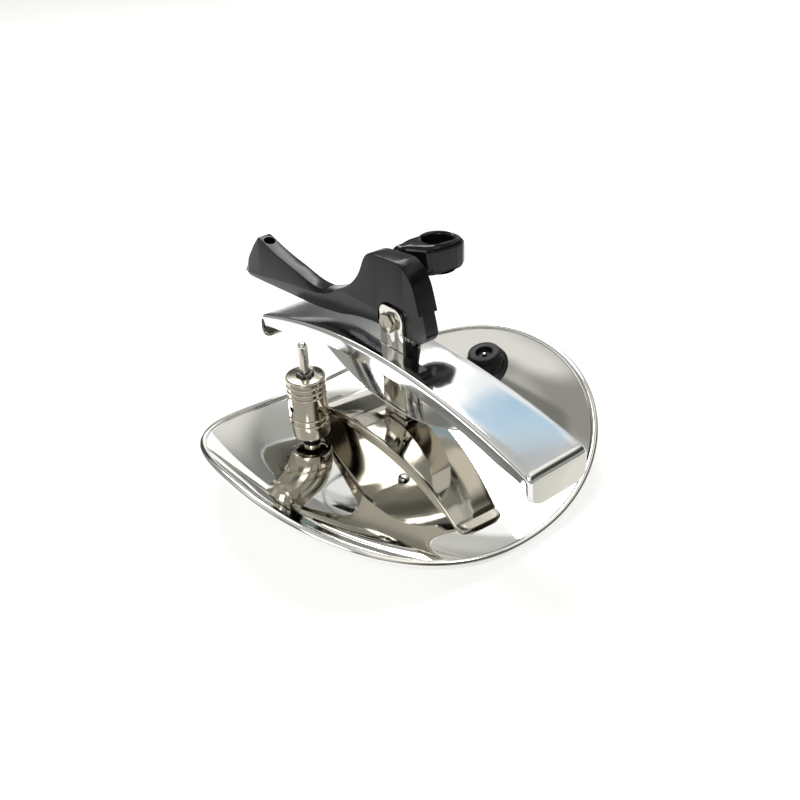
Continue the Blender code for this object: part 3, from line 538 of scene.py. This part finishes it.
def make_bar():
    """The arched channel with bent-down ends; a station is x, z, slope, flange depth and half width."""
    end_lip, end_half = 2.5, BAR_HALF_W + BAR_FLARE
    path = []
    for x in np.linspace(0.0, BAR_BEND_X, 90):
        half = BAR_HALF_W + BAR_FLARE * (x / BAR_BEND_X) ** 2
        near = min(max((x - 104.0) / 14.0, 0.0), 1.0)
        path.append([x, bar_z(x), math.atan(-2.0 * BAR_SAG * x), BAR_FLANGE * (1.0 - 0.18 * near), half])
    tail = [list(path[-1])]
    tail[0][3] = end_lip
    path[-1][0] -= 0.8
    path[-1][1] = bar_z(path[-1][0])
    x, z, slope = BAR_BEND_X, bar_z(BAR_BEND_X), math.atan(-2.0 * BAR_SAG * BAR_BEND_X)
    cx, cz = x + BAR_END_R * math.sin(slope), z - BAR_END_R * math.cos(slope)
    end_slope = math.radians(-86.0)
    for i in range(1, 13):
        a = slope + (end_slope - slope) * i / 12.0
        tail.append([cx - BAR_END_R * math.sin(a), cz + BAR_END_R * math.cos(a), a, end_lip, end_half])
    x, z, a = tail[-1][:3]
    length = (z - BAR_END_Z) / math.sin(-a)
    backs = [BAR_END_CORNER * (1.0 - math.sin(0.5 * math.pi * i / 10.0)) for i in range(11)]
    for back in [length - 1.0, 0.5 * (length + BAR_END_CORNER)] + backs:
        d = length - back
        if d <= 0.5:
            continue
        k = min(back / BAR_END_CORNER, 1.0)
        half = end_half - BAR_END_CORNER * (1.0 - math.sqrt(1.0 - (1.0 - k) ** 2))
        tail.append([x + d * math.cos(a), z + d * math.sin(a), a, end_lip, half])
    right = path + tail
    left = [[-p[0], p[1], -p[2], p[3], p[4]] for p in reversed(right[1:])]
    t, r = BAR_SHEET, 2.6
    ri = r - t
    turn = [math.radians(90.0 * i / 8.0) for i in range(9)]
    rings = []
    for x, z, a, flange, half in left + right:
        outer = [(-half, flange - 0.3), (-half, r + 0.8)]
        outer += [(-half + r - r * math.cos(k), r - r * math.sin(k)) for k in turn]
        flat = np.linspace(-(half - r), half - r, 9)[1:-1]
        outer += [(y, 0.0) for y in flat]
        outer += [(half - r + r * math.sin(k), r - r * math.cos(k)) for k in turn]
        outer += [(half, r + 0.8), (half, flange - 0.3), (half - 0.3, flange)]
        outer += [(half - t + 0.3, flange), (half - t, flange - 0.3), (half - t, r + 0.8)]
        outer += [(half - r + ri * math.cos(k), r - ri * math.sin(k)) for k in turn]
        outer += [(y, t) for y in flat[::-1]]
        outer += [(-half + r - ri * math.sin(k), r - ri * math.cos(k)) for k in turn]
        outer += [(-half + t, r + 0.8), (-half + t, flange - 0.3)]
        outer += [(-half + t - 0.3, flange), (-half + 0.3, flange)]
        nx, nz = math.sin(a), -math.cos(a)
        rings.append([(x + nx * w, BAR_Y + y, z + nz * w) for y, w in outer])
    obj = loft("bar", rings, BAR_STEEL)
    slots = []
    for side in (-1.0, 1.0):
        ys = sorted((BAR_Y + side * (LINK_IN - 0.6), BAR_Y + side * (LINK_IN + LINK_SHEET + 0.6)))
        slots.append(box("slot", (-LINK_HALF_X - 0.7, ys[0], 70.0), (LINK_HALF_X + 0.7, ys[1], 95.0)))
    carve(obj, slots)
    obj.data.materials.append(SHADED_END_STEEL)
    # Faces turned along X at the bar's ends take the darker steel: painted shade.
    for face in obj.data.polygons:
        if abs(face.normal.x) > 0.93 and abs(face.center.x / MM - DATUM[0]) > BAR_BEND_X:
            face.material_index = 1
    crease(obj, 35.0)
    stands_for(obj, "bar", "pressure_bar")


def make_link():
    """The stirrup: two round-topped ears and the web between their feet."""
    z0 = LINK_FOOT_Z
    ear = [(-LINK_HALF_X, 0.0)]
    for cx, cz, r, start, stop in ((-5.0, 65.4, 5.2, 180, 90), (3.0, 63.4, 7.2, 90, 0)):
        turns = [math.radians(d) for d in np.linspace(start, stop, 12)]
        ear += [(cx + r * math.cos(a), cz + r * math.sin(a)) for a in turns]
    ear.append((LINK_HALF_X, 0.0))
    shape = [(x, z0 + z) for x, z in ear]
    outer = LINK_IN + LINK_SHEET
    obj = prism("link", shape, BAR_Y - outer, BAR_Y - LINK_IN, LINK_STEEL)
    far = prism("far_ear", shape, BAR_Y + LINK_IN, BAR_Y + outer, None)
    web = box("web", (-10.15, BAR_Y - outer + 0.4, z0 + 0.02), (10.15, BAR_Y + outer - 0.4, z0 + LINK_SHEET))
    carve(obj, [far, web], "UNION")
    bore = rod("bore", PIVOT_R + 0.25, -30.0, 40.0, (0.0, PIVOT_Z), "Y")
    carve(obj, [bore, rod("hole", RIVET_HOLE_R, 30.0, 60.0, (0.0, BAR_Y))])
    soften(obj, 0.35, 2, 50.0)
    crease(obj, 30.0)
    stands_for(obj, "lid", "link_stirrup")


# The lever's side view, from the grip's tip to the head: (along, up) from the pivot.
LEVER_TOP = (
    (-166.5, -18.5), (-160.0, -9.5), (-151.0, 2.0), (-144.0, 9.2), (-135.0, 6.9), (-125.6, 4.2),
    (-113.0, 1.5), (-101.0, -0.6), (-90.0, -2.9), (-79.0, -4.3), (-71.0, -3.9), (-63.7, -1.7),
    (-56.0, 1.2), (-48.4, 4.6), (-42.0, 8.2), (-37.0, 11.9), (-32.5, 16.2), (-28.5, 21.4),
    (-25.5, 27.0), (-22.8, 32.2), (-19.5, 35.4), (-15.0, 36.6), (-8.0, 37.4), (0.0, 38.1),
    (6.6, 38.4), (11.5, 37.2), (15.5, 34.5), (18.4, 31.3), (20.6, 27.8), (22.6, 22.5),
    (24.4, 16.5), (26.2, 10.2), (27.6, 5.0), (28.6, 1.2),
)
LEVER_BOTTOM = (
    (-166.5, -22.4), (-160.0, -23.2), (-146.0, -22.6), (-125.0, -21.2), (-106.3, -20.0), (-90.0, -19.0),
    (-76.0, -17.9), (-64.0, -16.2), (-52.3, -14.0), (-44.0, -11.7), (-36.4, -9.6), (-24.0, -7.3),
    (-13.6, -6.2), (0.0, -6.6), (12.0, -7.2), (20.0, -7.3), (24.5, -6.2), (27.2, -3.6), (28.6, -0.4),
)
LEVER_RIDGE = (
    (-166.5, -21.2), (-146.0, -18.4), (-125.0, -14.6), (-101.0, -11.0), (-79.5, -8.4), (-66.0, -5.4),
    (-57.0, -1.2), (-48.4, 3.4), (28.6, 0.6),
)


def make_lever():
    """The cam block and grip, with pockets for the stirrup's ears, the pivot's bore and the hanging hole."""
    xs = list(np.linspace(LEVER_TIP_X, LEVER_CREST_X, 24)) + [LEVER_CREST_X + 0.05]
    xs += list(np.linspace(-143.0, -30.0, 90)) + list(np.linspace(-29.0, LEVER_HEAD_X, 90))
    rings = []
    for x in xs:
        sharp = x < LEVER_CREST_X + 0.1
        top = float(np.interp(x, *zip(*LEVER_TOP))) if sharp else smooth_table(LEVER_TOP, x)
        bottom = smooth_table(LEVER_BOTTOM, x)
        ridge = min(max(smooth_table(LEVER_RIDGE, x), bottom + 1.0), top - 1.0)
        grip = min(1.0, max(0.0, (-46.0 - x) / 14.0))
        half = LEVER_HALF_W
        upper, lower = half - 1.6 * grip, half - 0.9 * grip
        c = min(0.9, 0.16 * (top - bottom))
        if x < -160.0:
            pull = (-160.0 - x) * 0.28
            half, upper, lower = half - pull, upper - pull, lower - pull
        k = 0.2929 * c  # the middle of a corner's arc
        side = [
            (lower - c, bottom), (lower - k, bottom + k), (lower, bottom + c),
            (half - 0.05, ridge - 0.25), (half, ridge), (half - 0.05, ridge + 0.25),
            (upper, max(top - c, ridge + 0.3)), (upper - k, top - k), (upper - c, top),
        ]
        ring = [(x, BAR_Y + v, PIVOT_Z + w) for v, w in side]
        ring += [(x, BAR_Y - v, PIVOT_Z + w) for v, w in reversed(side)]
        rings.append(ring)
    obj = loft("lever", rings, SATIN_BLACK)
    reach = LEVER_POCKET_R
    cutters = []
    for side in (-1.0, 1.0):
        outline = [(-reach, -12.0), (-reach, 0.0)]
        turns = np.linspace(0.0, 0.5 * math.pi, 14)[1:]
        outline += [(-reach * math.cos(t), reach * math.sin(t)) for t in turns]
        outline += [(34.0, reach), (34.0, -12.0)]
        outline = [(u, PIVOT_Z + v) for u, v in outline]
        ys = sorted((BAR_Y + side * LEVER_CORE, BAR_Y + side * (LEVER_HALF_W + 3.0)))
        cutters.append(prism("pocket", outline, ys[0], ys[1], None))
    cutters.append(rod("bore", PIVOT_R + 0.3, -30.0, 40.0, (0.0, PIVOT_Z), "Y"))
    cutters.append(rod("hang", HANG_HOLE_R, 60.0, 130.0, (HANG_HOLE_X, BAR_Y)))
    carve(obj, cutters)
    crease(obj, 24.0)
    stands_for(obj, "lever", "lever_handle")


# The loop seen from above, anticlockwise from its neck at the lever.
RING_OUTLINE = (
    (-13.4, 10.05), (-8.4, 10.05), (-7.2, 13.4), (-2.5, 17.6), (2.6, 21.4), (4.9, 24.6), (6.3, 29.0),
    (7.3, 35.0), (7.9, 41.0), (7.4, 45.4), (5.2, 48.8), (1.0, 50.8), (-4.0, 51.2), (-8.8, 49.8),
    (-12.7, 47.0), (-15.4, 43.0), (-16.6, 38.0), (-16.6, 27.0), (-16.3, 21.8), (-15.2, 18.0), (-13.6, 14.0),
)
RING_HOLE = (-4.6, 36.6, 8.9)
RING_LOW, RING_HIGH, RING_ROUNDING = 121.0, 139.4, 4.2


def outline_reach(outline, centre, angle):
    """How far the outline lies from centre in this direction."""
    c, s = math.cos(angle), math.sin(angle)
    best = 0.0
    for (x1, y1), (x2, y2) in zip(outline, outline[1:] + outline[:1]):
        ax, ay, bx, by = x1 - centre[0], y1 - centre[1], x2 - centre[0], y2 - centre[1]
        across_a, across_b = ax * s - ay * c, bx * s - by * c
        if (across_a > 0.0) == (across_b > 0.0):
            continue
        t = across_a / (across_a - across_b)
        along = (ax + t * (bx - ax)) * c + (ay + t * (by - ay)) * s
        best = max(best, along)
    return best


def make_ring():
    """The loop: round-edged sections set round its hole, thinner where its neck meets the lever."""
    x0, y0, hole = RING_HOLE
    outline = list(RING_OUTLINE)
    rounded = RING_ROUNDING
    rings = []
    for i in range(240):
        a = 2.0 * math.pi * i / 240.0
        c, s = math.cos(a), math.sin(a)
        reach = outline_reach(outline, (x0, y0), a)
        section = []
        for k in range(9):
            t = 0.5 * math.pi * k / 8.0
            section.append((reach - rounded + rounded * math.sin(t), 1.0, rounded * (1.0 - math.cos(t))))
        section += [(reach, 0.5, 0.0)]
        for k in range(9):
            t = 0.5 * math.pi * k / 8.0
            section.append((reach - rounded + rounded * math.cos(t), 0.0, -rounded * (1.0 - math.sin(t))))
        for k in range(7):
            t = 0.5 * math.pi * k / 6.0
            section.append((hole + 2.0 - 2.0 * math.sin(t), 0.0, -2.0 * (1.0 - math.cos(t))))
        for k in range(7):
            t = 0.5 * math.pi * k / 6.0
            section.append((hole + 2.0 - 2.0 * math.cos(t), 1.0, 2.0 * (1.0 - math.sin(t))))
        ring = []
        for r, level, inset in section:
            x, y = x0 + r * c, y0 + r * s
            lift = min(1.0, max(0.0, (21.0 - y) / 6.0))
            low = RING_LOW + 7.0 * lift * lift * (3.0 - 2.0 * lift)
            if level == 1.0:
                z = RING_HIGH - inset
            elif level == 0.0:
                z = low - inset
            else:
                z = 0.5 * (low + RING_HIGH)
            ring.append((x, y, z))
        rings.append(ring)
    obj = loft("loop", rings, GLOSS_BLACK, closed=True)
    crease(obj, 40.0)
    stands_for(obj, "lever", "ring_loop")


def hex_prism(name, across, low, high, mat):
    """A hexagon on the pivot's axis, measured across its flats."""
    r = across / 2.0 / math.cos(math.pi / 6.0)
    turns = [math.radians(60 * i + 12) for i in range(6)]
    outline = [(r * math.cos(a), PIVOT_Z + r * math.sin(a)) for a in turns]
    return prism(name, outline, low, high, mat)


def make_bolt():
    """The pivot's bolt, with its shoulder, and its nut."""
    outer = LINK_IN + LINK_SHEET
    near = BAR_Y - outer - 0.2
    obj = hex_prism("bolt", 11.0, near - 4.0, near - 0.6, BOLT_STEEL)
    soften(obj, 0.45, 3, 20.0)
    washer = rod("washer", 5.6, near - 0.9, near, (0.0, PIVOT_Z), "Y")
    shank = rod("shank", PIVOT_R, near - 1.0, BAR_Y + outer + 5.6, (0.0, PIVOT_Z), "Y")
    carve(obj, [washer, shank], "UNION")
    crease(obj, 30.0)
    stands_for(obj, "lid", "pivot_bolt")
    near = BAR_Y + outer + 0.2
    nut = hex_prism("nut", 10.2, near, near + 4.0, BOLT_STEEL)
    carve(nut, [rod("thread", PIVOT_R + 0.1, 0.0, 40.0, (0.0, PIVOT_Z), "Y")])
    soften(nut, 0.4, 2, 40.0)
    crease(nut, 30.0)
    stands_for(nut, "lid", "pivot_nut")


def make_vent():
    """The vent pipe, the washer under its shoulder and the nut under the lid."""
    pipe = [
        (1.5, 4.1), (4.0, 4.1), (4.2, 4.5), (4.2, 11.4), (5.1, 11.4), (5.35, 11.7), (5.35, 21.4), (4.9, 22.0),
        (4.2, 22.3), (4.2, 36.0), (3.2, 40.0), (1.5, 40.0),
    ]
    obj = lathe("vent", pipe, NICKEL, (VENT_X, VENT_Y), 64)
    crease(obj, 30.0)
    stands_for(obj, "lid", "vent_pipe")
    rings = []
    for i in range(64):
        a = 2.0 * math.pi * i / 64
        ring = []
        for r, z in ((4.5, 0), (5.6, 0), (5.6, 11.1), (4.5, 11.1)):
            x, y = VENT_X + r * math.cos(a), VENT_Y + r * math.sin(a)
            ring.append((x, y, z if z else lid_z(x, y) + GAP))
        rings.append(ring)
    washer = loft("vent_washer", rings, RUBBER, closed=True)
    crease(washer, 30.0)
    stands_for(washer, "lid", "vent_gasket")
    nut_section = [(4.5, 4.2), (8.0, 4.2), (8.0, 6.6), (4.5, 6.6)]
    nut = lathe("vent_nut", nut_section, BOLT_STEEL, (VENT_X, VENT_Y), 72, (1, 2))
    soften(nut, 0.3, 2, 40.0)
    crease(nut, 25.0)
    stands_for(nut, "lid", "vent_locknut")


GROOVE_HEIGHTS = (26.0, 30.2, 45.6, 49.4, 53.2)
GROOVE = ((-0.85, 0.0), (-0.6, 0.2), (-0.35, 0.62), (0.0, 0.75), (0.35, 0.62), (0.6, 0.2), (0.85, 0.0))
STEAM_HOLE_R, STEAM_HOLE_Z = 2.1, 37.6


def make_weight():
    """The hollow weight with its grooves and four steam holes, the rod through it, and the lobed collar."""
    low, high, r = WEIGHT_LOW, WEIGHT_HIGH, WEIGHT_R
    hollow = WEIGHT_HOLLOW_R
    profile = [(hollow, low + 0.5), (hollow + 0.4, low), (r - 1.0, low), (r - 0.3, low + 0.3), (r, low + 1.0)]
    for z in GROOVE_HEIGHTS:
        profile += [(r - depth, z + step) for step, depth in GROOVE]
    for k in range(7):
        t = 0.5 * math.pi * k / 6.0
        profile.append((r - 1.3 + 1.3 * math.cos(t), high - 1.3 + 1.3 * math.sin(t)))
    bore = PIN_R + 0.3
    profile += [(bore + 0.3, high), (bore, high - 0.3), (bore, high - 12.0), (hollow, high - 12.0)]
    obj = lathe("weight", profile, NICKEL, (VENT_X, VENT_Y), 128)
    holes = []
    for n in range(4):
        hole = rod("hole", STEAM_HOLE_R, 6.0, 20.0, (0.0, 0.0), "Y", 40)
        undo = Matrix.Translation(-Vector(DATUM * MM))
        turn = Matrix.Rotation(math.radians(90.0 * n + 1.0), 4, "Z")
        shift = Matrix.Translation(Vector((np.array([VENT_X, VENT_Y, STEAM_HOLE_Z]) + DATUM) * MM))
        hole.data.transform(shift @ turn @ undo)
        holes.append(hole)
    carve(obj, holes)
    crease(obj, 28.0)
    stands_for(obj, "weight", "regulator_weight")
    pin = [
        (0.0, 40.3), (0.9, 40.5), (2.6, 44.0), (PIN_R, 44.6), (PIN_R, high - 11.0), (PIN_R, PIN_TOP - 3.0),
    ]
    for k in range(1, 9):
        t = 0.5 * math.pi * k / 8.0
        pin.append((PIN_R * math.cos(t) ** 0.8 if k < 8 else 0.0, PIN_TOP - 3.0 + 3.0 * math.sin(t)))
    obj = turned("pin", pin, PIN_STEEL, (VENT_X, VENT_Y))
    crease(obj, 40.0)
    stands_for(obj, "weight", "lift_pin")
    rings = []
    base = high + 0.3
    for i in range(144):
        a = 2.0 * math.pi * i / 144
        outer = 5.2 + 0.45 * math.cos(6.0 * a)
        section = [(bore, base), (outer, base), (outer, base + 1.2)]
        section += [(outer - 0.2, base + 1.6), (outer - 0.6, base + 1.8), (bore, base + 1.8)]
        rings.append([(VENT_X + r * math.cos(a), VENT_Y + r * math.sin(a), z) for r, z in section])
    # The collar's darkened steel is painted dark reflection.
    obj = loft("collar", rings, DARK_STEEL, closed=True)
    crease(obj, 40.0)
    stands_for(obj, "weight", "pin_collar")


def leaned(x, y, z):
    """A point given about the plug's own axis, which leans with the lid under it."""
    seat = lid_z(PLUG_X, PLUG_Y)
    c, s = math.cos(PLUG_LEAN), math.sin(PLUG_LEAN)
    return (PLUG_X + x, PLUG_Y + y * c - z * s, seat + y * s + z * c)


def seat_height(x, y, gap):
    """The height, along the plug's axis, at which the point (x, y) is a gap above the lid."""
    z = 0.0
    for _ in range(12):
        px, py, pz = leaned(x, y, z)
        z += (lid_z(px, py) + gap - pz) * 0.8
    return z


def make_plug():
    """The rubber plug and its pin."""
    # Radius and height; the last number is 1 or -1 where the lid's upper or lower face sets the height.
    rows = [
        (1.9, -6.5, 0), (9.0, -6.5, 0), (9.6, -5.6, 0), (9.6, None, -1), (6.9, None, -1), (6.9, None, 1),
        (12.6, None, 1), (12.95, 3.9, 0), (12.9, 4.3, 0), (12.6, 4.9, 0), (12.1, 5.4, 0), (11.4, 5.7, 0),
        (11.1, 6.0, 0), (11.2, 7.4, 0), (11.3, 8.6, 0), (11.1, 9.5, 0), (10.7, 10.1, 0), (10.1, 10.4, 0),
        (6.4, 10.4, 0), (5.8, 10.2, 0), (5.4, 9.6, 0), (5.2, 7.6, 0), (4.8, 7.2, 0), (1.9, 7.2, 0),
    ]
    rings = []
    for i in range(96):
        a = 2.0 * math.pi * i / 96
        ring = []
        for r, z, on in rows:
            x, y = r * math.cos(a), r * math.sin(a)
            h = seat_height(x, y, GAP if on > 0 else -LID_SHEET - GAP) if on else z
            ring.append(leaned(x, y, h))
        rings.append(ring)
    obj = loft("plug", rings, RUBBER, closed=True)
    crease(obj, 35.0)
    stands_for(obj, "lid", "safety_plug")
    pin = [
        (0.0, -13.4), (2.6, -13.3), (3.0, -12.8), (3.0, -11.3), (2.8, -11.0), (1.55, -11.0), (1.55, 8.0),
        (1.5, 8.4), (1.3, 8.8), (0.9, 9.1), (0.0, 9.2),
    ]
    obj = turned("plug_pin", pin, PIN_STEEL, (0.0, 0.0), 40)
    for vert in obj.data.vertices:
        x, y, z = np.array(vert.co) / MM - DATUM
        vert.co = (np.array(leaned(x, y, z)) + DATUM) * MM
    crease(obj, 35.0)
    stands_for(obj, "pressure_pin", "safety_pin")


def make_rivet():
    """The rivet that holds the stirrup's web to the bridge."""
    low = BRIDGE_EDGE[0][1] + BRIDGE_CROWN - BRIDGE_SHEET - 0.9
    top = LINK_FOOT_Z + LINK_SHEET + GAP
    profile = [
        (0.0, low - 2.0), (3.0, low - 1.85), (3.7, low - 1.4), (4.0, low - 0.7), (4.0, low), (2.4, low),
        (2.4, top), (3.8, top), (3.9, top + 0.3), (3.4, top + 0.7), (2.2, top + 0.95), (0.0, top + 1.0),
    ]
    obj = turned("rivet", profile, LINK_STEEL, (0.0, BAR_Y), 48)
    crease(obj, 35.0)
    stands_for(obj, "lid", "link_rivet")


# ---------------------------------------------------------------- studio

def add_floor():
    """A plain pale floor just under the object."""
    bpy.ops.mesh.primitive_plane_add(size=6.0, location=(0.0, 0.0, -0.0005))
    floor = bpy.context.object
    floor.name = "floor"
    n = Nodes("pale_floor")
    n.link(n.mix(n.noise(3.0, 2.0), (0.70, 0.70, 0.695), (0.73, 0.73, 0.725)), n.shader.inputs["Base Color"])
    n.shader.inputs["Roughness"].default_value = 0.8
    n.shader.inputs["Specular IOR Level"].default_value = 0.0
    n.shader.inputs["Emission Color"].default_value = (1.0, 1.0, 1.0, 1.0)
    n.shader.inputs["Emission Strength"].default_value = 0.50
    floor.data.materials.append(n.mat)


# The plain backdrop behind the floor.
BACKDROP = (1.0, 1.0, 1.0, 1.0)
# Brightness of the studio's walls and ceiling from the lowest direction to the highest.
WORLD_STOPS = (
    (0.00, 0.55), (0.49, 0.60), (0.51, 0.30), (0.60, 0.34),
    (0.70, 0.46), (0.80, 0.62), (0.90, 0.55), (1.00, 0.60),
)
# Soft screens and flags round the object, in degrees: azimuth, elevation, half width, half height, soft edge.
# The last entry is the screen's colour.
SCREENS = (
    (136.0, 44.0, 22.0, 8.5, 4.0, (1.10, 1.10, 1.09)),
    (-130.0, 46.0, 14.0, 16.0, 12.0, (0.84, 0.83, 0.78)),
    (-163.0, 33.0, 13.0, 16.0, 10.0, (0.34, 0.33, 0.30)),
    (172.0, 52.0, 16.0, 9.0, 5.0, (0.22, 0.22, 0.20)),
    (146.0, 8.0, 13.0, 13.0, 9.0, (0.22, 0.225, 0.21)),
    (165.0, 8.0, 14.0, 14.0, 5.0, (0.07, 0.075, 0.072)),
    (123.0, 10.0, 8.0, 20.0, 10.0, (0.85, 0.84, 0.80)),
    (116.0, 46.5, 7.0, 3.6, 4.0, (0.52, 0.72, 0.88)),
    (40.0, 34.0, 34.0, 12.0, 7.0, (0.06, 0.055, 0.042)),
    (52.0, 58.0, 26.0, 8.0, 5.0, (1.10, 1.06, 0.96)),
    (-60.0, 30.0, 30.0, 12.0, 8.0, (0.14, 0.14, 0.13)),
)


def add_world():
    """Walls, ceiling and soft screens for the polished steel to mirror, and the plain backdrop."""
    world = bpy.data.worlds.new("studio")
    bpy.context.scene.world = world
    world.use_nodes = True
    tree = world.node_tree
    nodes, links = tree.nodes, tree.links
    way = nodes.new("ShaderNodeTexCoord").outputs["Generated"]

    def math_node(kind, first, second=None):
        node = nodes.new("ShaderNodeMath")
        node.operation = kind
        for socket, value in zip(node.inputs, (first, second)):
            if isinstance(value, float):
                socket.default_value = value
            elif value is not None:
                links.new(value, socket)
        return node.outputs[0]

    def along(axis):
        """How far the direction looked in points along this axis."""
        node = nodes.new("ShaderNodeVectorMath")
        node.operation = "DOT_PRODUCT"
        links.new(way, node.inputs[0])
        node.inputs[1].default_value = axis
        return node.outputs["Value"]

    def spread(value, low, high, to_low, to_high):
        node = nodes.new("ShaderNodeMapRange")
        node.interpolation_type = "SMOOTHSTEP"
        for name, number in (("From Min", low), ("From Max", high), ("To Min", to_low), ("To Max", to_high)):
            node.inputs[name].default_value = number
        links.new(value, node.inputs["Value"])
        return node.outputs["Result"]

    level = nodes.new("ShaderNodeMapRange")
    level.inputs["From Min"].default_value = -1.0
    links.new(along((0.0, 0.0, 1.0)), level.inputs["Value"])
    ramp = nodes.new("ShaderNodeValToRGB")
    ramp.color_ramp.interpolation = "EASE"
    while len(ramp.color_ramp.elements) < len(WORLD_STOPS):
        ramp.color_ramp.elements.new(0.5)
    for element, (place, value) in zip(ramp.color_ramp.elements, WORLD_STOPS):
        element.position = place
        element.color = (value, value, 0.96 * value, 1.0)
    links.new(level.outputs["Result"], ramp.inputs["Fac"])
    colour = ramp.outputs["Color"]
    for azimuth, elevation, half_w, half_h, soft, tint in SCREENS:
        a, e = math.radians(azimuth), math.radians(elevation)
        ahead = along((math.cos(e) * math.cos(a), math.cos(e) * math.sin(a), math.sin(e)))
        across = along((-math.sin(a), math.cos(a), 0.0))
        above = along((-math.sin(e) * math.cos(a), -math.sin(e) * math.sin(a), math.cos(e)))
        in_front = math_node("MAXIMUM", ahead, 0.05)
        mask = spread(ahead, 0.05, 0.2, 0.0, 1.0)
        for part, half in ((across, half_w), (above, half_h)):
            off = math_node("ABSOLUTE", math_node("DIVIDE", part, in_front))
            low = math.tan(math.radians(half - 0.5 * soft))
            high = math.tan(math.radians(half + 0.5 * soft))
            mask = math_node("MULTIPLY", mask, spread(off, low, high, 1.0, 0.0))
        mix = nodes.new("ShaderNodeMix")
        mix.data_type = "RGBA"
        links.new(mask, mix.inputs["Factor"])
        links.new(colour, mix.inputs["A"])
        mix.inputs["B"].default_value = (*tint, 1.0)
        colour = mix.outputs["Result"]
    plain = nodes.new("ShaderNodeMix")
    plain.data_type = "RGBA"
    links.new(nodes.new("ShaderNodeLightPath").outputs["Is Camera Ray"], plain.inputs["Factor"])
    links.new(colour, plain.inputs["A"])
    plain.inputs["B"].default_value = BACKDROP
    links.new(plain.outputs["Result"], nodes["Background"].inputs["Color"])
    nodes["Background"].inputs["Strength"].default_value = 1.0


LIGHT_AIM = (0.0, 0.0, 0.03)


def add_light(name, place, aim, size, power):
    """A rectangular soft box that shines from place towards aim."""
    data = bpy.data.lights.new(name, "AREA")
    data.shape = "RECTANGLE"
    data.size, data.size_y = size
    data.energy = power
    obj = bpy.data.objects.new(name, data)
    obj.location = place
    obj.rotation_euler = (Vector(aim) - Vector(place)).to_track_quat("-Z", "Y").to_euler()
    bpy.context.scene.collection.objects.link(obj)


add_camera()
make_lid()
make_bridge()
make_leaf()
make_bar()
make_link()
make_rivet()
make_lever()
make_ring()
make_bolt()
make_vent()
make_weight()
make_plug()
add_floor()
add_world()
add_light("key", (-0.9, 0.5, 1.3), LIGHT_AIM, (0.9, 0.9), 14.0)
add_light("fill", (0.9, -1.1, 1.0), LIGHT_AIM, (0.8, 0.8), 6.0)
bpy.context.scene.view_settings.view_transform = "Standard"
